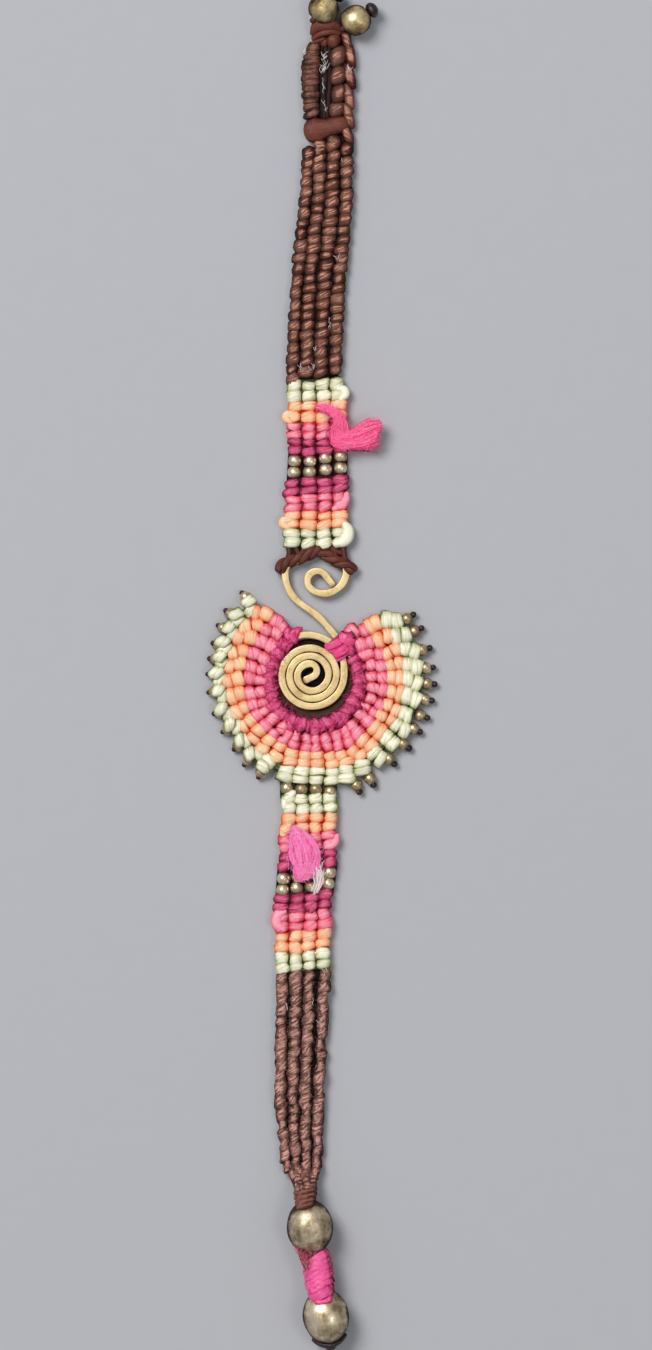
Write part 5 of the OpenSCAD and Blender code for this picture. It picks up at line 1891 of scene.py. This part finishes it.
@dataclass
class LooseFibres:
    """The two frayed bits of pink cord over the knots. Lines are rows of x, y and half of the width in pixels."""

    arch: tuple[Place, ...] = (
        (315, 407, 1.5), (321, 408, 3.2), (327.5, 409.5, 3.8), (334.5, 413.5, 4.5),
        (339, 419.5, 6), (340, 427, 7.5), (338.5, 434, 8.6), (338, 441, 7),
    )
    tail: tuple[Place, ...] = (
        (331, 440, 4), (339, 442, 7.5), (348, 440.5, 8.2), (357, 439, 9.5),
        (365, 436, 11.5), (370, 433.8, 12), (374.5, 431.5, 11.3), (378.5, 429.3, 9),
    )
    tuft: tuple[Place, ...] = (
        (292.5, 825.5, 1.5), (295.5, 831, 5.5), (298.5, 838, 10.5), (301.8, 846, 14.5),
        (304.5, 855, 15.8), (305.5, 863, 14.5), (301.5, 871, 9), (299.5, 878, 5),
    )
    white: tuple[Place, ...] = ((316, 865, 4), (318.5, 874, 5.5), (318.5, 883, 4.5), (315, 892, 3.5))
    wisps: tuple[Patch, ...] = ((313, 867, 3, 16), (319, 872, 5, 26), (321, 881, 5, 26), (314, 892, 3, 16))
    z: float = 2.75

    def _bundle(
        self,
        maker: MeshMaker,
        line: Sequence[Place],
        count: int,
        seed: int,
        thin: float,
        clumps: int,
        slant: float = 0.0,
    ) -> None:
        """Lays many fibres along a line.

        Args:
            maker: Mesh to add them to.
            line: Rows of x, y and half of the bundle's width, in pixels.
            count: Number of fibres.
            seed: Seed of their places.
            thin: Half of a fibre's width.
            clumps: Number of locks that they gather in.
            slant: How much earlier the fibres of one edge end, as a share of the line.
        """
        chance = random.Random(seed)
        last = len(line) - 1
        locks = [((k + 0.5) / clumps * 2 - 1, chance.gauss(0, 0.12), chance.uniform(-0.3, 0.3)) for k in range(clumps)]
        for _ in range(count):
            stray = chance.random() < 0.16
            lock, lean, rise = chance.choice(locks)
            across = chance.uniform(-1.14, 1.14) if stray else lock + chance.gauss(0, 0.5 / clumps)
            up = max(-0.5, min(0.5, rise + chance.gauss(0, 0.14)))
            start = chance.uniform(0, 0.25)
            stop = chance.choice((chance.uniform(0.7, 0.95), 0.98, chance.uniform(0.98, 1.05)))
            stop -= slant * max(across, -0.5)
            drift = chance.gauss(lean, 0.4 if stray else 0.05)
            curl, wave = chance.uniform(0.2, 0.8), chance.uniform(0, math.tau)
            dome = 0.45 * math.sqrt(max(0.0, 1 - across * across)) - 2.2 * (across - lock) ** 2
            points = []
            for k in range(7):
                t = (start + (stop - start) * k / 6) * last
                i = min(int(t), last - 1)
                a, b = line[i], line[i + 1]
                x, y, w = (a[n] + (b[n] - a[n]) * (t - i) for n in range(3))
                way = Vector((b[0] - a[0], b[1] - a[1], 0)).normalized()
                swing = (across + drift * (k / 6) ** 2) * w + curl * math.sin(wave + 1.4 * k)
                points.append(photo(x - way.y * swing, y + way.x * swing, self.z + up * 0.5 + dome))
            tint = chance.random()
            # Painted shade on fibres low in the bundle, with a little more at random
            deep = max(0.0, 0.25 - 0.9 * up) + chance.uniform(0, 0.2)
            maker.sweep(smooth(points, 2), thin, sides=3, tint=tint, deep=deep)

    def build(self, shop: Workshop) -> None:
        """Lays the fibres."""
        upper, lower, white = MeshMaker(), MeshMaker(), MeshMaker()
        self._bundle(upper, self.arch, 420, 11, 0.05, 26)
        self._bundle(upper, self.tail, 640, 12, 0.05, 30, 0.26)
        self._bundle(lower, self.tuft, 520, 13, 0.06, 15)
        self._bundle(white, self.white, 46, 14, 0.035, 6)
        fibre = shop.lay(upper, "loose_fibre_strands", Look.HOT_PINK, "loose_fibre")
        tuft = shop.lay(lower, "loose_tuft_strands", Look.VIOLET_PINK, "loose_tuft")
        shop.lay(white, "loose_white_strands", Look.PALE)
        shop.grow(fibre, "loose_fibre", Look.HOT_PINK, 1.0e6, 1.3, 17)
        shop.grow(tuft, "loose_tuft", Look.VIOLET_PINK, 1.0e6, 1.3, 17)
        shop.fray("loose_white_wisps", self.wisps, 16, (0.6, 1.7), (2.0, 3.0))


@dataclass
class EdgeLoops:
    """Plump turns at the edges of the coloured blocks, and the binding over the wire. Places are in pixels."""

    loops: tuple[tuple[str, Look, float, tuple[Row, ...]], ...] = (
        ("block_1_green", Look.GREEN, 0.68, ((338.5, 389), (343.5, 390), (345, 394.5), (341.5, 399))),
        ("block_1_orange", Look.ORANGE, 0.62, ((292, 413.8), (287, 415), (286.5, 419), (291.5, 421.4))),
        ("block_2_pink", Look.PINK, 0.66, ((346.6, 494.5), (345.8, 499.5), (341, 505), (334.5, 508.8))),
        ("block_2_orange", Look.ORANGE, 0.62, ((290, 520.6), (284.6, 520.6), (282.6, 524), (287.5, 527.4))),
        ("block_2_green", Look.GREEN, 0.92, ((345, 525), (348, 530), (347.3, 536.5), (343.2, 541.5), (336.5, 543.6))),
        ("block_3_green", Look.GREEN, 0.72, ((293.2, 792.8), (289, 796.6), (285.8, 801.5), (284.8, 806.5))),
        ("block_3_orange", Look.ORANGE, 0.66, ((289.5, 825.5), (285.3, 829.5), (284, 834), (286.8, 837.5))),
        ("block_3_pink", Look.PINK, 0.62, ((336.8, 836), (335.4, 841), (331, 845.4), (326.6, 847))),
        ("block_4_pink", Look.PINK, 0.85, ((283.5, 911.5), (278.4, 914.5), (276.6, 920), (278.4, 925.5), (283, 928.5))),
    )
    pads: tuple[tuple[float, tuple[Place, ...]], ...] = (
        (0.62, ((327, 647, 1.7), (333, 645, 2.1), (339.5, 642, 2.1))),
        (0.82, ((340.5, 637, 1.9), (346, 639.5, 2.25), (352, 643, 1.9))),
        (0.5, ((330, 650.5, 1.6), (336, 648, 1.9), (341, 645.5, 1.9))),
        (0.36, ((338, 659.5, 1.6), (342.5, 657, 1.8), (346.8, 653, 1.7))),
        (0.72, ((335.8, 654.5, 1.8), (340.5, 651.5, 2.35), (346, 648.2, 2.1))),
    )
    left_folds: tuple[tuple[float, tuple[Place, ...]], ...] = (
        (0.5, ((298.5, 629.5, 1.5), (294, 631.5, 1.8), (289, 636, 1.7), (285, 641, 1.4))),
        (0.48, ((299, 634, 1.3), (294.5, 636.5, 1.9), (290, 641, 1.9), (286.5, 647, 1.4))),
        (0.42, ((292.5, 630.5, 1.5), (287, 635, 1.4), (284, 640, 1.3), (282.5, 647.5, 1.2))),
        (0.42, ((297, 638, 1.2), (293, 641.5, 1.6), (288.5, 647, 1.6), (285.5, 652, 1.3))),
        (0.36, ((301, 628.5, 1.6), (298, 631.5, 1.9), (295.5, 636.5, 1.8))),
    )
    z: float = 1.55

    def build(self, shop: Workshop) -> None:
        """Lays the loops."""
        for name, look, radius, points in self.loops:
            maker = MeshMaker()
            plump = lambda t: radius * (0.72 + 0.42 * math.sin(math.pi * t))
            maker.sweep(trace(points, 5, self.z), plump, 0.85 * radius, sides=14, tint=0.7)
            shop.lay(maker, f"{name}_edge_loop", look)
        self._binding(shop)

    def _binding(self, shop: Workshop) -> None:
        """Winds the smooth magenta cord over the wire's two runs, and lays its other end on the left."""
        maker = MeshMaker()
        for i, (radius, line) in enumerate(self.pads):
            maker.sweep(trace(line), radius, 0.4, sides=20, tint=(0.35 + 0.29 * i) % 1, square=0.35)
        at, axis = photo(338, 645.5, 1.3), toward(-50)
        side = Vector((-axis.y, axis.x, 0))
        for k in range(4):
            ring = []
            for j in range(-2, 19):
                a = math.tau * j / 16
                ring.append(at + axis * (k - 1.2) * 0.75 + side * 1.5 * math.cos(a) + UP * (0.85 * math.sin(a)))
            maker.sweep(ring, 0.42, 0.3, tint=0.3 * k, deep=0.2)
        for i, (radius, line) in enumerate(self.left_folds):
            maker.sweep(trace(line), radius, radius * 0.9, sides=10, tint=0.2 + 0.2 * i, deep=0.08 * (i % 3))
        wound = shop.lay(maker, "binding_wrap_turns", Look.BOUND, "binding_wrap")
        shop.grow(wound, "binding_wrap", Look.BOUND, 0.6e6, 0.45, 44)


@dataclass
class Studio:
    """Pale board, soft lights and the camera straight above."""

    photo_size: tuple[int, int] = (652, 1350)
    camera_height: float = 1.5
    film: float = 36.0
    far: float = 20.0
    board_half: float = 2.0
    key_power: float = 25.0
    fill_power: float = 1.8
    sky: float = 0.36
    sky_colour: tuple[float, ...] = (0.93, 0.96, 1.0, 1.0)

    def build(self, shop: Workshop) -> None:
        """Sets the board, the lights, the sky and the camera."""
        self._board(shop)
        self._lamp("key_light", Vector((-0.72, 0.75, 1.5)), 0.8, self.key_power)
        self._lamp("fill_light", Vector((0.55, -0.2, 1.2)), 0.35, self.fill_power)
        world = bpy.data.worlds.new("studio_sky")
        world.use_nodes = True
        glow = world.node_tree.nodes["Background"].inputs
        glow["Color"].default_value = self.sky_colour
        glow["Strength"].default_value = self.sky
        bpy.context.scene.world = world
        bpy.context.scene.view_settings.view_transform = "Standard"
        self._camera()

    @staticmethod
    def _hang(name: str, data: bpy.types.ID, at: Sequence[float] = (0, 0, 0)) -> Object:
        """Puts an object of a mesh, a light or a camera in the scene."""
        hung = bpy.data.objects.new(name, data)
        hung.location = at
        bpy.context.scene.collection.objects.link(hung)
        return hung

    def _board(self, shop: Workshop) -> None:
        """Lays the board."""
        mesh = bpy.data.meshes.new("board")
        corners = [(self.board_half * x, self.board_half * y, 0) for x, y in ((-1, -1), (1, -1), (1, 1), (-1, 1))]
        mesh.from_pydata(corners, [], [(0, 1, 2, 3)])
        mesh.materials.append(shop.materials[Look.FLOOR])
        self._hang("board", mesh)

    def _lamp(self, name: str, at: Vector, size: float, power: float) -> None:
        """Hangs a square soft light that faces the bracelet."""
        lamp = bpy.data.lights.new(name, "AREA")
        lamp.energy, lamp.size = power, size
        self._hang(name, lamp, at).rotation_euler = (-at).to_track_quat("-Z", "Y").to_euler()

    def _camera(self) -> None:
        """Hangs the camera over the photograph's middle."""
        width, height = self.photo_size
        middle = (photo(width / 2, height / 2) + SHIFT) * MM
        camera = bpy.data.cameras.new("camera")
        camera.sensor_width = self.film
        camera.lens = self.film * self.camera_height / (height * PX * MM)
        camera.clip_end = self.far
        bpy.context.scene.camera = self._hang("camera", camera, (middle.x, middle.y, self.camera_height))


CHARTS = (
    (
        ((294.3, 385.8), (308.5, 386.6), (322.2, 384.4), (335.9, 384.4)),
        ((294.5, 396), (308.8, 396.3), (323.8, 396.3), (338.4, 395.2)),
        ((295.1, 407.3), (308.8, 406.5), (324, 406.2), (338.9, 405.6)),
        ((293.2, 417.5), (308.6, 417.5), (323.2, 417.5), (339.2, 415.8)),
        ((293.9, 426.6), (308.5, 427), (323.7, 427.5), (339.5, 425.6)),
        ((294.3, 434.3), (309.2, 434.9), (324.5, 435.8), (340, 434)),
        ((294.8, 441.8), (309.4, 442.9), (324.9, 443.4), (340.4, 441.8)),
        ((295, 450.2), (308.8, 451.6), (324.7, 450.4), (340.6, 448.8)),
    ),
    (
        ((292.1, 484), (308.9, 482.2), (325, 482), (341, 480)),
        ((291.8, 492.1), (308.4, 490.7), (324.7, 490.3), (340.6, 488.8)),
        ((293, 500), (309, 498.6), (324.5, 498.3), (339, 497)),
        ((293, 508), (309.5, 507), (324.8, 506.6), (340.4, 505.6)),
        ((292.6, 515.9), (309.4, 515.6), (325, 515.5), (340.3, 515)),
        ((291.4, 524.3), (308.3, 524.8), (324.4, 524.4), (339, 523.7)),
        ((290.8, 533.2), (307.9, 533.8), (324, 533.6), (338.4, 532.2)),
        ((291.4, 542), (308.6, 543), (323.8, 543.3), (338, 542)),
    ),
    (
        ((287.8, 799), (301.4, 799), (315.3, 798.6), (329.6, 799.4)),
        ((289.4, 808.6), (303, 809), (316.4, 808), (330.4, 808.2)),
        ((289, 818.5), (302.7, 817.9), (316.2, 817.2), (330.4, 817.2)),
        ((286.6, 829.3), (302.2, 827.6), (315.5, 827.2), (329.3, 826.8)),
        ((286.4, 839.4), (301.3, 837.8), (315.2, 837), (328.9, 836)),
        ((286, 848), (300.6, 847), (314.9, 846), (330, 844)),
        ((285.7, 857), (300, 856.5), (314.8, 855), (330, 853.6)),
        ((285, 866.2), (299.6, 866), (314.6, 864.4), (330, 862.6)),
    ),
    (
        ((281.7, 898.8), (297.4, 898), (311.4, 896.6), (324.9, 894)),
        ((281.4, 907.5), (297.1, 907.6), (311.2, 906.3), (324.5, 904)),
        ((281.2, 916.8), (296.7, 917), (310.3, 916.3), (323.9, 914)),
        ((281.6, 926.6), (296, 926.4), (309.9, 925.7), (324.3, 923.2)),
        ((282.2, 937), (296, 936.8), (309.6, 935.6), (324.3, 933.1)),
        ((281.9, 947.2), (295.4, 947.5), (308.6, 945.8), (322.8, 943.4)),
        ((281.7, 957.6), (295.6, 958), (308.7, 955.6), (322.6, 953.4)),
        ((282.7, 968), (296.4, 966.8), (309.8, 964.6), (323.5, 963)),
    ),
)

STRAPS = (
    PlainStrap(
        "upper_strap",
        46.95,
        84.6,
        ((-0.4, 1.7, 1.78, 0.0), (-0.155, 1.85, 1.53, 0.2), (0.115, 1.95, 1.53, 0.0), (0.39, 1.8, 1.66, 1.0)),
        101,
        bars_left_out=1,
        frays=(
            (330, 325, 5, 7), (315, 349, 4, 6), (301, 371, 3, 8),
            (313.5, 371, 3, 8), (344, 163, 2, 3), (338, 258, 3, 4),
        ),
    ),
    PlainStrap(
        "lower_strap",
        -82.0,
        -47.8,
        ((-0.405, 1.75, 1.7, 0.2), (-0.15, 1.8, 1.6, 0.1), (0.105, 1.8, 1.62, 0.3), (0.385, 1.75, 1.72, 0.0)),
        102,
        worn=True,
        lean=4.0,
        frays=((286, 1009, 2, 3), (312, 1004, 3, 3), (321, 1024, 4, 5), (327, 971, 2, 4)),
    ),
)


def main() -> None:
    """Builds the bracelet and its studio."""
    logging.basicConfig(level=logging.INFO, format="%(message)s")
    shop = Workshop()
    blocks = [ColourBlock(i + 1, chart) for i, chart in enumerate(CHARTS)]
    bodies = (ButtonLoop(), *STRAPS, *blocks, StrapBeads(), SpiralWire(), Fan(), EdgeLoops(), Clasp(), LooseFibres())
    for part in (*bodies, Studio()):
        LOG.info("building %s", type(part).__name__)
        part.build(shop)
    for spare in shop.spares:
        bpy.data.objects.remove(spare)
    bpy.context.view_layer.update()


if __name__ == "__main__":
    main()
